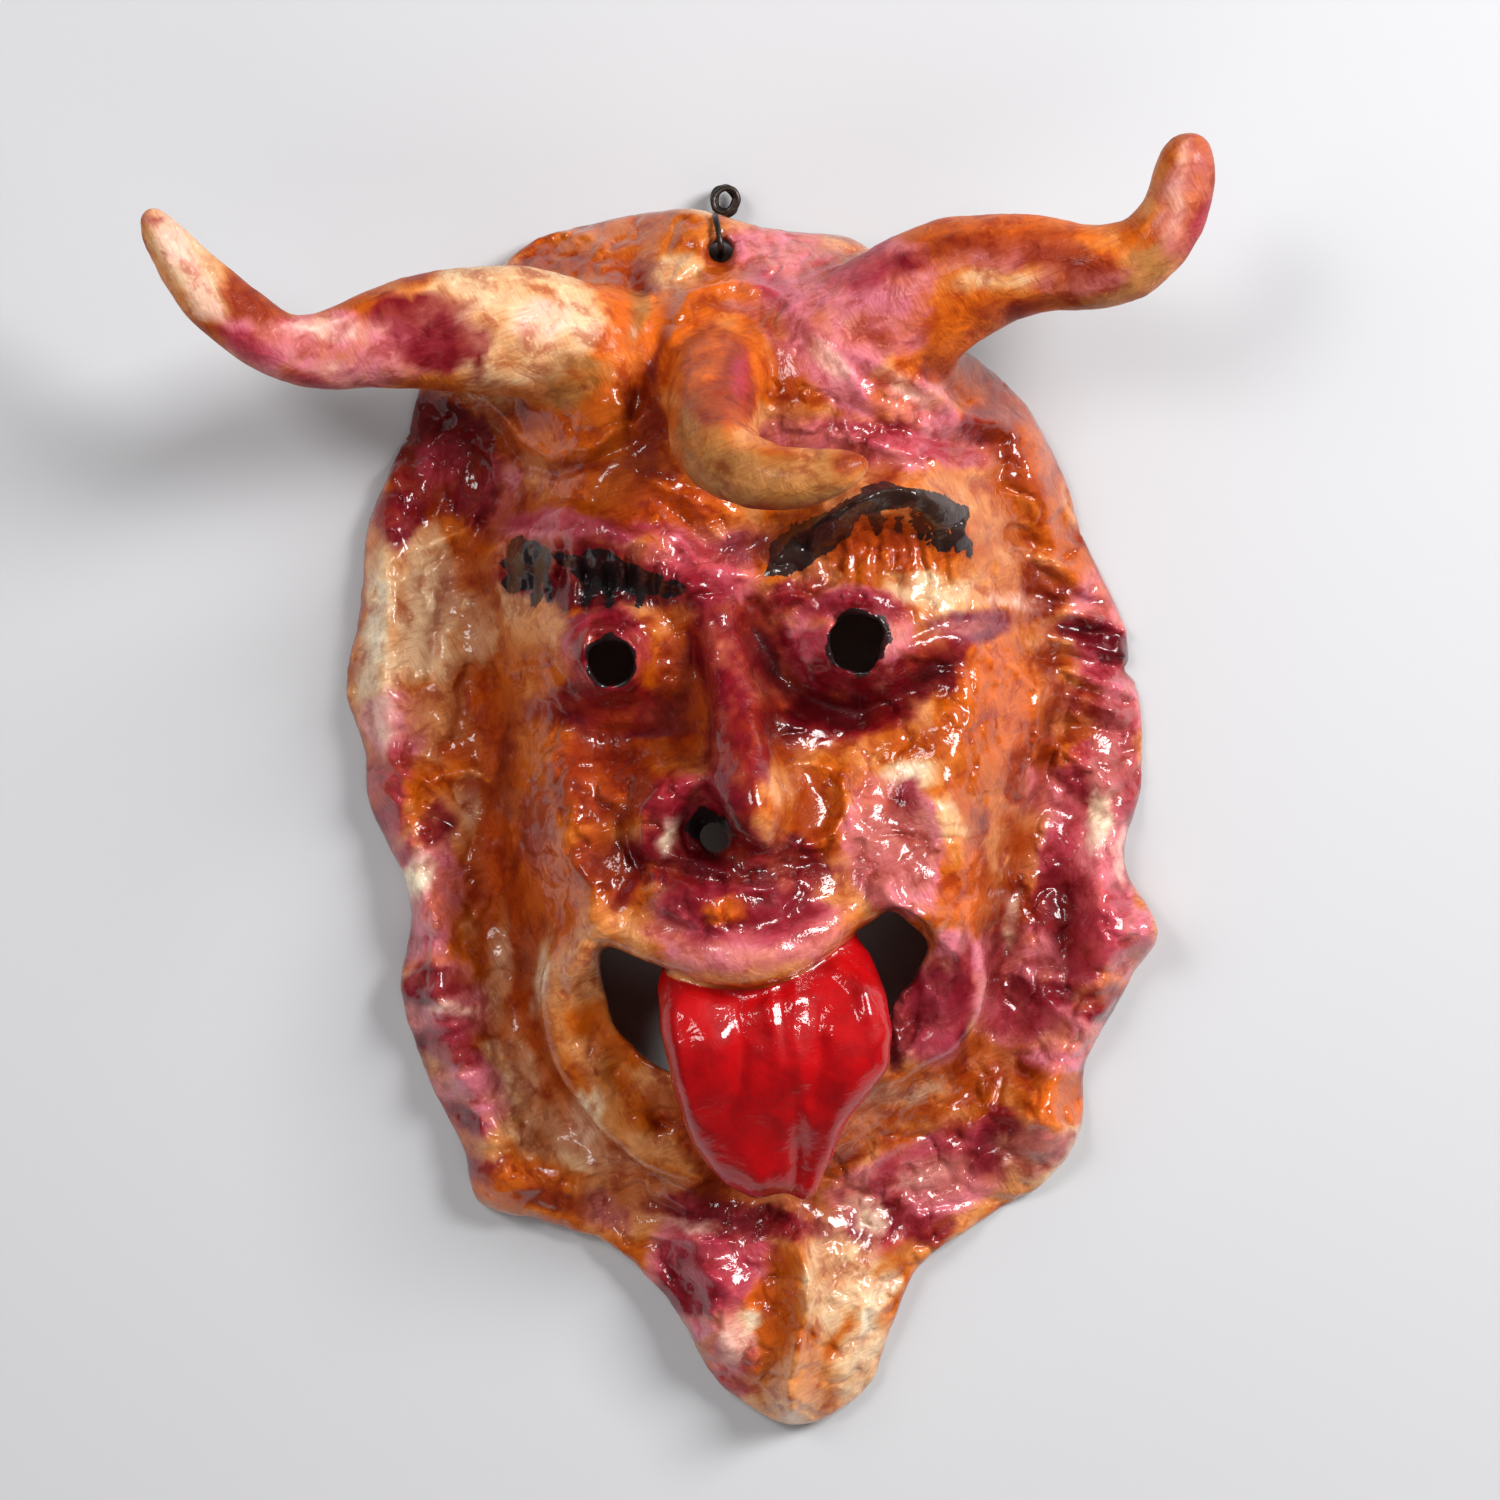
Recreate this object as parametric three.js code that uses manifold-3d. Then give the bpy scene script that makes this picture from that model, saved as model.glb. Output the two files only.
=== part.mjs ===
// A hand-modelled clay mask of a horned face with its tongue out, hollow behind, and the wire it hangs by.
// Millimetres. It lies face up: +Z out of the face, +Y towards the crown, +X to the right of the face.
import * as THREE from 'three';
import { mergeVertices } from 'three/addons/utils/BufferGeometryUtils.js';
import Module from 'manifold-3d';

// Sizes that can be set by themselves, in millimetres.
const MASK_HEIGHT = 315;
const WALL = 8;
const RIM_THICKNESS = 9;
const RIM_ROUNDING = 5;
const RIM_FOOT = 6;
const EYE_HOLE_LEFT = 10.5;
const EYE_HOLE_RIGHT = 13;
const NOSTRIL_HOLE = 6;
const WIRE_DIAMETER = 1.5;
const WIRE_HOLE = 6;
const WIRE_CLEARANCE = 0.4;
const WIRE_EYE = 7;

// The form is laid out in percent of the mask's height, from the middle of its outline box.
const SHARE = MASK_HEIGHT / 100;
const RIM = RIM_THICKNESS / SHARE;

// How finely the front and back are faceted: spokes out to the rim and rings around the middle.
const FRONT_SPOKES = 96;
const FRONT_RINGS = 22;
const BACK_SPOKES = 48;
const BACK_RINGS = 11;
const RINGS_FROM = [5, -2];

// The rim as it shows from the front, clockwise from the crown.
const OUTLINE = [
  [-12.5, 43.4], [-8.5, 45], [-3, 46.1], [0.9, 46.2], [6.4, 44.6], [13.5, 43.9], [22.5, 35], [27.6, 31],
  [30.2, 26.3], [32, 20.8], [34.7, 15.3], [36.4, 9], [36.8, 1.2], [35.3, -5.1], [37.5, -10.6],
  [35.5, -15.4], [32.4, -21.2], [31.8, -27], [29.2, -30.5], [24.5, -33.7], [19, -37.5], [17, -42.1],
  [14.7, -47.2], [9.6, -50], [4.8, -48], [2.1, -45.2], [-0.7, -40.5], [-4.6, -36.2], [-10.9, -33.8],
  [-16, -32.3], [-17.2, -28.3], [-20.7, -20.9], [-22.2, -15], [-21.5, -8.3], [-24.3, -2], [-25.2, 3.5],
  [-26.6, 8.2], [-25.6, 13.7], [-24.7, 21.6], [-21.9, 28.7], [-18.8, 36.6],
];

// The open mouth behind the tongue.
const MOUTH = [
  [-5.9, -11.8], [-1.5, -11.8], [4.4, -13.4], [9.6, -12.6], [13.5, -10.2], [16.6, -8.1], [19.4, -10.2],
  [20.6, -13.8], [19.4, -17.7], [16.2, -20.5], [9.6, -22.8], [1.7, -22.4], [-2.2, -20.5], [-4.6, -17.7],
  [-5.8, -14.6],
];

// The dome of the face: half-widths to the left and right, half-heights above and below its middle.
const DOME = { at: [4.9, 6.8], left: 20.8, right: 24.6, above: 41.5, below: 37, power: 2.6, rise: 10.4 };

// Soft mounds (and hollows, where the rise is negative): middle, the two reaches, turn in degrees, rise.
const MOUNDS = {
  foreheadLeft: [[-11, 35], [10, 6.6], -4, 5.4],
  foreheadRight: [[18, 35.5], [9.5, 7.5], 20, 4.8],
  foreheadMiddle: [[3.2, 31], [6.5, 6.5], 0, 2.2],
  foreheadCrease: [[-2.8, 34.5], [1.6, 6.5], 5, -2.6],
  foreheadGap: [[7.8, 19.4], [3, 2.2], 20, -2.2],
  leftTemple: [[-19.5, 26], [4, 6.5], 10, -2.4],
  leftEyeball: [[-5, 10.3], [3.9, 3.9], 0, 3.4],
  leftEyeHollow: [[-5.4, 4.4], [5.2, 2.4], 0, -2.6],
  rightEyeball: [[13.8, 11.8], [4.2, 3.7], 10, 2.6],
  leftCheek: [[-8.5, -1.5], [5, 6], 0, 1.4],
  rightCheek: [[24, 4.5], [5, 9], 5, 2.4],
  noseWingLeft: [[0.4, -0.6], [4.4, 3.4], 15, 5.2],
  noseWingRight: [[10.6, -0.8], [3.8, 3.4], -10, 3.8],
  nostrilDent: [[2.2, -1.8], [2, 1.9], 0, -3.6],
  glassyDent: [[10.4, -0.6], [2, 1.9], 0, -1.8],
  muzzle: [[4, -4.6], [7.4, 6.4], 0, 2.6],
  upperLip: [[4.4, -8.6], [9.4, 3.7], -4, 5.6],
  lipCornerRight: [[16.8, -4.6], [5, 4.2], 35, 2.2],
  lowerLip: [[7.2, -25.2], [7.5, 4.4], 0, 5.2],
  cornerLeft: [[-13.5, -30.4], [4, 3], -25, 2.6],
  cornerRight: [[29, -26.5], [3.4, 3.6], 0, 2.4],
  chin: [[7.5, -39.5], [8, 8.5], 0, 3.4],
  crownLift: [[2.8, 46], [4.5, 3.4], 0, 3],
  rightEarLift: [[37.3, -10.4], [3.4, 3.6], 0, 4.6],
  leftEarLift: [[-22.6, -15], [2.6, 2.6], 0, 2.4],
  leftChinLift: [[-4.5, -37.5], [4.2, 2], -45, 1.8],
  rightChinLift: [[20.5, -37], [4, 2.4], 40, 1.8],
};

// Ridges (and grooves, where the rise is negative): chain of [x, y, rise] and half-width.
const FOLDS = {
  noseRidge: [[[2.7, 15.4, 1.6], [4.4, 8.2, 3.4], [5.5, 2.2, 6], [6, -0.8, 6]], 2.6],
  lipLeft: [[
    [-6.4, -10, 3.2], [-9.3, -14.9, 4.8], [-8.8, -19.2, 4.6], [-5.8, -23.8, 3.8], [0.5, -28.8, 2.6],
  ], 2],
  lipRight: [[
    [16.4, -7.2, 2.4], [21.4, -10.8, 4], [22.3, -14.4, 4.2], [20.6, -18.4, 3.6], [16.6, -21.4, 2.6],
  ], 2],
  browLeft: [[[-13.5, 17.8, 1.8], [-8.8, 20.3, 2.8], [-2.7, 18.6, 3], [1.1, 15.9, 1.6]], 2],
  browRight: [[
    [6.8, 16.9, 1.6], [9.4, 19.9, 2.8], [14, 22.6, 3.2], [18.6, 23.1, 2.8], [21.8, 21.2, 1.6],
  ], 1.9],
  troughRight: [[[5.9, 12.4, -1.4], [8.7, 7.9, -2.6], [14, 6.4, -2.6], [20, 8.4, -1.4]], 1.6],
  smileRight: [[[17.5, 2.5, 0.6], [21, -2, 2], [22.4, -8, 2.2]], 2],
  valleyLeft: [[
    [-16.3, 15.3, -0.6], [-15.5, 2.7, -1], [-13.6, -8.2, -1.6], [-12, -16.8, -1.6], [-8, -25, -1.2],
  ], 2],
  valleyRight: [[
    [28, 3, -1.4], [26.3, -4.3, -2.4], [25.3, -11.3, -2.2], [25.5, -17.6, -1.4], [23, -23, -0.8],
  ], 1.7],
  rimLeft: [[
    [-22.2, 25, 1.6], [-23, 15.2, 2], [-22.6, 2.7, 2.2], [-19.9, -8.2, 3], [-18, -18, 2.4],
    [-14.8, -27, 1.8],
  ], 2.1],
  rimRightUpper: [[[27, 28, 2.4], [29, 21, 2.6], [31, 15, 1.6]], 2],
  rimRightLower: [[[34.4, -2, 2], [33, -7.5, 2.4], [33, -16, 2.2], [28.4, -24, 2]], 1.7],
  furrowOne: [[[26.6, 20.4, -1], [30.4, 19, -1.6]], 0.9],
  furrowTwo: [[[28.2, 15.6, -1.2], [32.6, 13.6, -2]], 1],
  furrowThree: [[[29.4, 10.6, -1.4], [35.4, 8.6, -3.2]], 1.2],
  furrowFour: [[[29, 5.6, -1.2], [34.4, 4, -2.2]], 1],
  ridgeThree: [[[29.8, 12.4, 1], [35, 11, 2.2]], 0.9],
  ridgeFour: [[[29.6, 7.8, 1], [34.8, 6, 2.2]], 0.9],
  chinFold: [[[8.7, -33, 1.2], [9.6, -38, 2], [8.9, -47.5, 2.2]], 1.5],
  chinLeftFold: [[[0.5, -32, 1.4], [2.6, -37, 1.8], [3.4, -43, 1.2]], 1.7],
};

// Swept forms: stations of [x, y, z, half-width, half-thickness] along the middle line.
const HORN_LEFT = [
  [-5, 34.6, 10.6, 5, 3.8], [-12, 35.5, 12.9, 5.5, 4.8], [-18.7, 35.4, 14.8, 4.8, 4.5],
  [-22.6, 34.6, 16.2, 3.9, 3.8], [-26.3, 33.8, 17.1, 3.1, 3.1], [-29.6, 34, 17.8, 2.6, 2.6],
  [-32.8, 35.9, 18.4, 2.5, 2.5], [-35.7, 38.5, 19, 2.4, 2.4], [-38.1, 41.6, 19.5, 1.8, 1.8],
  [-39.2, 43.4, 19.7, 1.1, 1.1],
];
const HORN_RIGHT = [
  [11, 34.4, 10.4, 5.4, 3.8], [16.6, 36.8, 12.6, 6.2, 5], [20.8, 39, 14.2, 5.3, 4.7],
  [24.6, 40.1, 15.6, 4.3, 4.2], [28.3, 40.2, 16.5, 3.6, 3.6], [31.8, 39.9, 17.5, 3.3, 3.3],
  [35.2, 41, 18.4, 3, 3], [37.2, 43.4, 19, 2.85, 2.85], [38, 46.2, 19.7, 2.55, 2.55],
  [38.3, 48, 20, 1.9, 1.9], [38.4, 49.3, 20, 1.2, 1.2],
];
const HORN_MIDDLE = [
  [3.2, 32.8, 11, 3.9, 3.9], [3.1, 31.2, 16.5, 3.8, 3.8], [2.9, 28.8, 22, 3.6, 3.6],
  [3.1, 26.2, 26.5, 3.3, 3.3], [4.4, 24.3, 30, 2.9, 2.9], [6.9, 23.3, 32.2, 2.6, 2.6],
  [9.6, 23.1, 33.2, 2.3, 2.3], [12.1, 23.6, 33.8, 1.7, 1.7], [13.2, 23.9, 34, 1.1, 1.1],
];
const NOSE = [
  [2.7, 15.2, 13.4, 1, 1], [3.4, 11, 15, 1.2, 1.2], [4.2, 7.4, 16.8, 1.5, 1.5],
  [5, 3, 19.2, 2.1, 2.1], [5.7, -0.2, 20.8, 2.3, 2.3], [6.4, -2.4, 21, 1.3, 1.3],
];
const TONGUE = [
  [6.3, -9.8, 13, 6.5, 1.8], [6.7, -12.4, 14.6, 8, 2], [7.1, -15.6, 16.4, 8.4, 2.1],
  [7.5, -19.8, 16.8, 8.5, 2.1], [7.9, -23.6, 15, 7.6, 2], [8.2, -27, 12.4, 5.4, 1.8],
  [8.5, -30, 10.2, 2.8, 1.5], [8.6, -31, 9.6, 1.4, 1],
];
const LIP_UPPER = [
  [-5.7, -9.2, 14.6, 1.5, 1.5], [-2.3, -10.6, 16.6, 2, 2], [1.5, -11.6, 18, 2.3, 2.3],
  [4.9, -12, 18.6, 2.4, 2.4], [8.6, -11.2, 18, 2.2, 2.2], [12, -9.4, 16.6, 1.8, 1.8],
  [14.9, -8, 14.8, 1.3, 1.3],
];
const LIP_LEFT = [
  [-5.4, -9.4, 13, 1.2, 1.2], [-7.6, -11.6, 12.2, 1.7, 1.7], [-9.1, -14.9, 11, 1.7, 1.7],
  [-8.7, -19.2, 9.6, 1.7, 1.7], [-5.8, -23.8, 8.4, 1.7, 1.7], [-2.1, -27.6, 7.4, 1.6, 1.6],
  [1, -29.2, 6.4, 1.3, 1.3],
];
const LIP_RIGHT = [
  [15.6, -7.2, 13.4, 1.3, 1.3], [18.6, -8.4, 13, 1.8, 1.8], [21.4, -11, 12, 1.8, 1.8],
  [22.2, -14.4, 11.2, 1.8, 1.8], [20.8, -18.2, 10, 1.7, 1.7], [17.4, -20.8, 9, 1.4, 1.4],
];
const HORN_SIDES = 12;
const TONGUE_SIDES = 14;
const LIP_SIDES = 8;
const STEPS_PER_STATION = 2;

// A height over the whole form, in percent, that cutters run up to.
const CEILING = 45;

// Places of the holes, and which way the nostril hole runs in.
const LEFT_EYE = [-5, 10.1];
const RIGHT_EYE = [13.6, 11.7];
const NOSTRIL = [2.4, -2];
const CROWN_HOLE = [3.3, 42.4];
const HOLE_SIDES = 14;
const WIRE_SIDES = 6;

// Height that a soft mound adds at a place.
function mound(x, y, [at, reach, turn, rise]) {
  const angle = THREE.MathUtils.degToRad(turn);
  const dx = x - at[0];
  const dy = y - at[1];
  const u = (dx * Math.cos(angle) + dy * Math.sin(angle)) / reach[0];
  const v = (dy * Math.cos(angle) - dx * Math.sin(angle)) / reach[1];
  return rise * Math.exp(-u * u - v * v);
}

// Height that a ridge adds at a place, from the nearest point of its chain.
function fold(x, y, [chain, halfWidth]) {
  let nearest = Infinity;
  let rise = 0;
  for (let i = 0; i + 1 < chain.length; i++) {
    const [ax, ay, aRise] = chain[i];
    const [bx, by, bRise] = chain[i + 1];
    const lengthSquared = (bx - ax) ** 2 + (by - ay) ** 2;
    const along = ((x - ax) * (bx - ax) + (y - ay) * (by - ay)) / lengthSquared;
    const t = THREE.MathUtils.clamp(along, 0, 1);
    const distance = Math.hypot(x - ax - t * (bx - ax), y - ay - t * (by - ay));
    if (distance < nearest) {
      nearest = distance;
      rise = aRise + t * (bRise - aRise);
    }
  }
  return rise * Math.exp(-((nearest / halfWidth) ** 2));
}

// Height of the dome of the face at a place.
function dome(x, y) {
  const dx = Math.abs(x - DOME.at[0]) / (x < DOME.at[0] ? DOME.left : DOME.right);
  const dy = Math.abs(y - DOME.at[1]) / (y < DOME.at[1] ? DOME.below : DOME.above);
  const out = (dx ** DOME.power + dy ** DOME.power) ** (1 / DOME.power);
  return DOME.rise * (1 - THREE.MathUtils.smoothstep(out, 0.6, 1.06));
}

function closedCurve(points) {
  const corners = points.map(([x, y]) => new THREE.Vector3(x, y, 0));
  return new THREE.CatmullRomCurve3(corners, true, 'centripetal');
}

const outlinePoints = closedCurve(OUTLINE).getSpacedPoints(FRONT_SPOKES).slice(0, -1);

function distanceToOutline(x, y) {
  let nearest = Infinity;
  outlinePoints.forEach((a, i) => {
    const b = outlinePoints[(i + 1) % outlinePoints.length];
    const along = ((x - a.x) * (b.x - a.x) + (y - a.y) * (b.y - a.y)) / a.distanceToSquared(b);
    const t = THREE.MathUtils.clamp(along, 0, 1);
    nearest = Math.min(nearest, Math.hypot(x - a.x - t * (b.x - a.x), y - a.y - t * (b.y - a.y)));
  });
  return nearest;
}

// Height of the glazed front at a place, rounded off along the rim.
function front(x, y) {
  let height = RIM + dome(x, y);
  for (const form of Object.values(MOUNDS)) height += mound(x, y, form);
  for (const form of Object.values(FOLDS)) height += fold(x, y, form);
  const roundedOver = 1 - THREE.MathUtils.smoothstep(distanceToOutline(x, y), 0, 3.5);
  return Math.max(height, RIM * 0.8) - (RIM_ROUNDING / SHARE) * roundedOver;
}

// Height of the hollow back at a place: the smoothed front, a wall's thickness in, with a foot at the rim.
function back(x, y) {
  const reach = 2.5;
  const foot = (RIM_FOOT / SHARE) * (1 - THREE.MathUtils.smoothstep(distanceToOutline(x, y), 0.5, 4));
  const directions = [0, 1, 2, 3, 4, 5, 6, 7].map((k) => (k / 4) * Math.PI);
  const around = directions.map((angle) => front(x + reach * Math.cos(angle), y + reach * Math.sin(angle)));
  const smoothed = around.reduce((sum, height) => sum + height, 0) / around.length;
  return Math.min(smoothed, front(x, y) + (WALL / SHARE) * 0.3) - WALL / SHARE - foot;
}

// Makes a closed geometry into a solid that can be joined and cut.
function toSolid(geometry) {
  const bare = geometry.clone();
  bare.deleteAttribute('normal');
  bare.deleteAttribute('uv');
  const merged = mergeVertices(bare, 1e-4);
  return new wasm.Manifold(new wasm.Mesh({
    numProp: 3,
    vertProperties: new Float32Array(merged.attributes.position.array),
    triVerts: new Uint32Array(merged.index.array),
  }));
}

// A solid from corners in percent of the height.
function fromTriangles(positions, triangles) {
  const geometry = new THREE.BufferGeometry();
  geometry.setAttribute('position', new THREE.Float32BufferAttribute(positions, 3));
  geometry.setIndex(triangles);
  return toSolid(geometry.scale(SHARE, SHARE, SHARE));
}

function toMesh(name, solid, material) {
  const { vertProperties, triVerts } = solid.getMesh();
  const geometry = new THREE.BufferGeometry();
  geometry.setAttribute('position', new THREE.BufferAttribute(new Float32Array(vertProperties), 3));
  geometry.setIndex(new THREE.BufferAttribute(new Uint32Array(triVerts), 1));
  geometry.computeVertexNormals();
  const mesh = new THREE.Mesh(geometry, material);
  mesh.name = name;
  return mesh;
}

// A block within the outline, from a flat floor up to a height that changes from place to place.
function underSurface(surface, floor, spokes, rings, overhang) {
  const rim = closedCurve(OUTLINE).getSpacedPoints(spokes).slice(0, -1);
  const positions = [];
  const [middleX, middleY] = RINGS_FROM;
  const at = (point, share) => [
    middleX + (point.x - middleX) * share,
    middleY + (point.y - middleY) * share,
  ];
  for (let ring = 1; ring <= rings; ring++) {
    for (const point of rim) {
      const [x, y] = at(point, (ring / rings) * overhang);
      positions.push(x, y, surface(x, y));
    }
  }
  for (const point of rim) positions.push(...at(point, overhang), floor);
  const topMiddle = positions.length / 3;
  positions.push(middleX, middleY, surface(middleX, middleY));
  positions.push(middleX, middleY, floor);
  const triangles = [];
  for (let spoke = 0; spoke < spokes; spoke++) {
    const next = (spoke + 1) % spokes;
    triangles.push(topMiddle, next, spoke);
    for (let ring = 0; ring < rings; ring++) {
      const [a, b] = [ring * spokes + spoke, ring * spokes + next];
      triangles.push(a, b, b + spokes, a, b + spokes, a + spokes);
    }
    triangles.push(topMiddle + 1, rings * spokes + spoke, rings * spokes + next);
  }
  return fromTriangles(positions, triangles);
}

// An upright prism of a closed curve, in percent of the height, from a floor to a ceiling.
function prism(points, steps, floor, ceiling) {
  const curve = closedCurve(points).getPoints(steps).slice(0, -1);
  const shape = new THREE.Shape(curve.map((p) => new THREE.Vector2(p.x, p.y)));
  const depth = ceiling - floor;
  const geometry = new THREE.ExtrudeGeometry(shape, { depth, steps: 1, bevelEnabled: false });
  return toSolid(geometry.translate(0, 0, floor).scale(SHARE, SHARE, SHARE));
}

// A tapering form with rounded ends, swept along a curve through its stations.
function sweep(stations, sides, widthAxis) {
  const curve = new THREE.CatmullRomCurve3(
    stations.map(([x, y, z]) => new THREE.Vector3(x, y, z)), false, 'centripetal');
  const steps = (stations.length - 1) * STEPS_PER_STATION;
  const positions = [];
  const addRing = (centre, tangent, width, thickness) => {
    const across = widthAxis.clone().addScaledVector(tangent, -widthAxis.dot(tangent)).normalize();
    const up = tangent.clone().cross(across);
    for (let side = 0; side < sides; side++) {
      const angle = (side / sides) * 2 * Math.PI;
      const point = centre.clone()
        .addScaledVector(across, width * Math.cos(angle))
        .addScaledVector(up, thickness * Math.sin(angle));
      positions.push(point.x, point.y, point.z);
    }
  };
  for (let step = 0; step <= steps; step++) {
    const place = step / STEPS_PER_STATION;
    const from = Math.min(Math.floor(place), stations.length - 2);
    const t = place - from;
    const width = THREE.MathUtils.lerp(stations[from][3], stations[from + 1][3], t);
    const thickness = THREE.MathUtils.lerp(stations[from][4], stations[from + 1][4], t);
    const parameter = place / (stations.length - 1);
    addRing(curve.getPoint(parameter), curve.getTangent(parameter), width, thickness);
  }
  const rings = steps + 1;
  const endReach = 0.6;
  for (const [end, station, sign] of [[0, stations[0], -1], [1, stations.at(-1), 1]]) {
    const cap = curve.getPoint(end).addScaledVector(curve.getTangent(end), sign * endReach * station[4]);
    positions.push(cap.x, cap.y, cap.z);
  }
  const triangles = [];
  for (let side = 0; side < sides; side++) {
    const next = (side + 1) % sides;
    for (let ring = 0; ring < rings - 1; ring++) {
      const [a, b] = [ring * sides + side, ring * sides + next];
      const [c, d] = [a + sides, b + sides];
      triangles.push(a, b, d, a, d, c);
    }
    const last = (rings - 1) * sides;
    triangles.push(rings * sides, next, side, rings * sides + 1, last + side, last + next);
  }
  return fromTriangles(positions, triangles);
}

// A round hole's cutter through the wall, leaning by the given slopes of x and y.
function bore([x, y], diameter, slope = [0, 0]) {
  const length = CEILING * SHARE;
  const cutter = new THREE.CylinderGeometry(diameter / 2, diameter / 2, length, HOLE_SIDES);
  cutter.rotateX(Math.PI / 2);
  const direction = new THREE.Vector3(slope[0], slope[1], 1).normalize();
  cutter.applyQuaternion(new THREE.Quaternion().setFromUnitVectors(new THREE.Vector3(0, 0, 1), direction));
  return toSolid(cutter.translate(x * SHARE, y * SHARE, length / 4));
}

// A round wire along a curve through points in millimetres.
function wire(points, steps, closed) {
  const path = new THREE.CatmullRomCurve3(points, closed, 'centripetal');
  const section = new THREE.Shape();
  for (let side = 0; side < WIRE_SIDES; side++) {
    const angle = (side / WIRE_SIDES) * 2 * Math.PI;
    const corner = [Math.cos(angle) * WIRE_DIAMETER / 2, Math.sin(angle) * WIRE_DIAMETER / 2];
    if (side === 0) section.moveTo(...corner);
    else section.lineTo(...corner);
  }
  section.closePath();
  return toSolid(new THREE.ExtrudeGeometry(section, { steps, extrudePath: path, bevelEnabled: false }));
}

function buildMask() {
  const across = new THREE.Vector3(1, 0, 0);
  const upright = new THREE.Vector3(0, 1, 0);
  return underSurface(front, 0, FRONT_SPOKES, FRONT_RINGS, 1)
    .subtract(prism(MOUTH, MOUTH.length * 2, -1, CEILING))
    .add(sweep(HORN_LEFT, HORN_SIDES, upright))
    .add(sweep(HORN_RIGHT, HORN_SIDES, upright))
    .add(sweep(HORN_MIDDLE, HORN_SIDES, across))
    .add(sweep(NOSE, LIP_SIDES, across))
    .add(sweep(LIP_UPPER, LIP_SIDES, upright))
    .add(sweep(LIP_LEFT, LIP_SIDES, across))
    .add(sweep(LIP_RIGHT, LIP_SIDES, across))
    .add(sweep(TONGUE, TONGUE_SIDES, across))
    .subtract(underSurface(back, -6, BACK_SPOKES, BACK_RINGS, 1.03))
    .subtract(bore(LEFT_EYE, EYE_HOLE_LEFT))
    .subtract(bore(RIGHT_EYE, EYE_HOLE_RIGHT))
    .subtract(bore(NOSTRIL, NOSTRIL_HOLE, [0.1, -0.25]))
    .subtract(bore(CROWN_HOLE, WIRE_HOLE));
}

// The wire goes down the front of the crown, through its hole and up behind, and ends in a twisted eye.
function buildWire() {
  const radius = WIRE_DIAMETER / 2;
  const gap = radius + WIRE_CLEARANCE;
  const [holeX, holeY] = [CROWN_HOLE[0] * SHARE, CROWN_HOLE[1] * SHARE];
  const edge = outlinePoints.filter((p) => p.y > 0)
    .reduce((a, b) => (Math.abs(a.x - CROWN_HOLE[0]) < Math.abs(b.x - CROWN_HOLE[0]) ? a : b));
  const edgeY = edge.y * SHARE;
  const sag = WIRE_DIAMETER;
  const frontAt = (y) => front(CROWN_HOLE[0], y / SHARE) * SHARE + gap + WIRE_CLEARANCE;
  const behind = Math.min(back(CROWN_HOLE[0], edge.y), back(...CROWN_HOLE)) * SHARE - gap - sag;
  const knot = new THREE.Vector3(holeX, edgeY + gap, behind);
  const strand = wire([
    knot.clone(),
    new THREE.Vector3(holeX, edgeY + 2 * gap, (frontAt(edgeY) + behind) / 2),
    new THREE.Vector3(holeX, edgeY + gap, frontAt(edgeY)),
    new THREE.Vector3(holeX, edgeY - gap, frontAt(edgeY - gap) + gap),
    new THREE.Vector3(holeX, (holeY + edgeY) / 2, frontAt((holeY + edgeY) / 2)),
    new THREE.Vector3(holeX, holeY + radius, frontAt(holeY) + gap),
    new THREE.Vector3(holeX, holeY, (frontAt(holeY) + behind) / 2),
    new THREE.Vector3(holeX, holeY + radius, behind),
    knot.clone().add(new THREE.Vector3(0, -radius, -gap / 2)),
  ], 26, false);
  const middle = new THREE.Vector3(holeX + radius, knot.y + WIRE_EYE / 2, knot.z);
  const eye = [0, 1, 2, 3, 4, 5, 6, 7].map((k) => {
    const angle = (k / 8) * 2 * Math.PI;
    const outward = new THREE.Vector3(Math.cos(angle), Math.sin(angle), 0);
    return middle.clone().addScaledVector(outward, WIRE_EYE / 2);
  });
  return strand.add(wire(eye, 12, true));
}

const wasm = await Module();
wasm.setup();

const glazedClay = new THREE.MeshStandardMaterial({ color: 0xb5603c, roughness: 0.2, metalness: 0 });
const darkSteel = new THREE.MeshStandardMaterial({ color: 0x3a302a, roughness: 0.5, metalness: 0.9 });

const part = new THREE.Group();
part.add(toMesh('mask', buildMask(), glazedClay));
part.add(toMesh('hanging_wire', buildWire(), darkSteel));

// The origin is under the middle of the whole part, on the surface that it lies on.
const box = new THREE.Box3().setFromObject(part);
const middle = box.getCenter(new THREE.Vector3());
part.position.set(-middle.x, -middle.y, -box.min.z);

export default part;
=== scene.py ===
"""The looks of a hand-modelled, glazed clay mask: its form in fine mesh, brushed glazes and wire."""
import math

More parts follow.
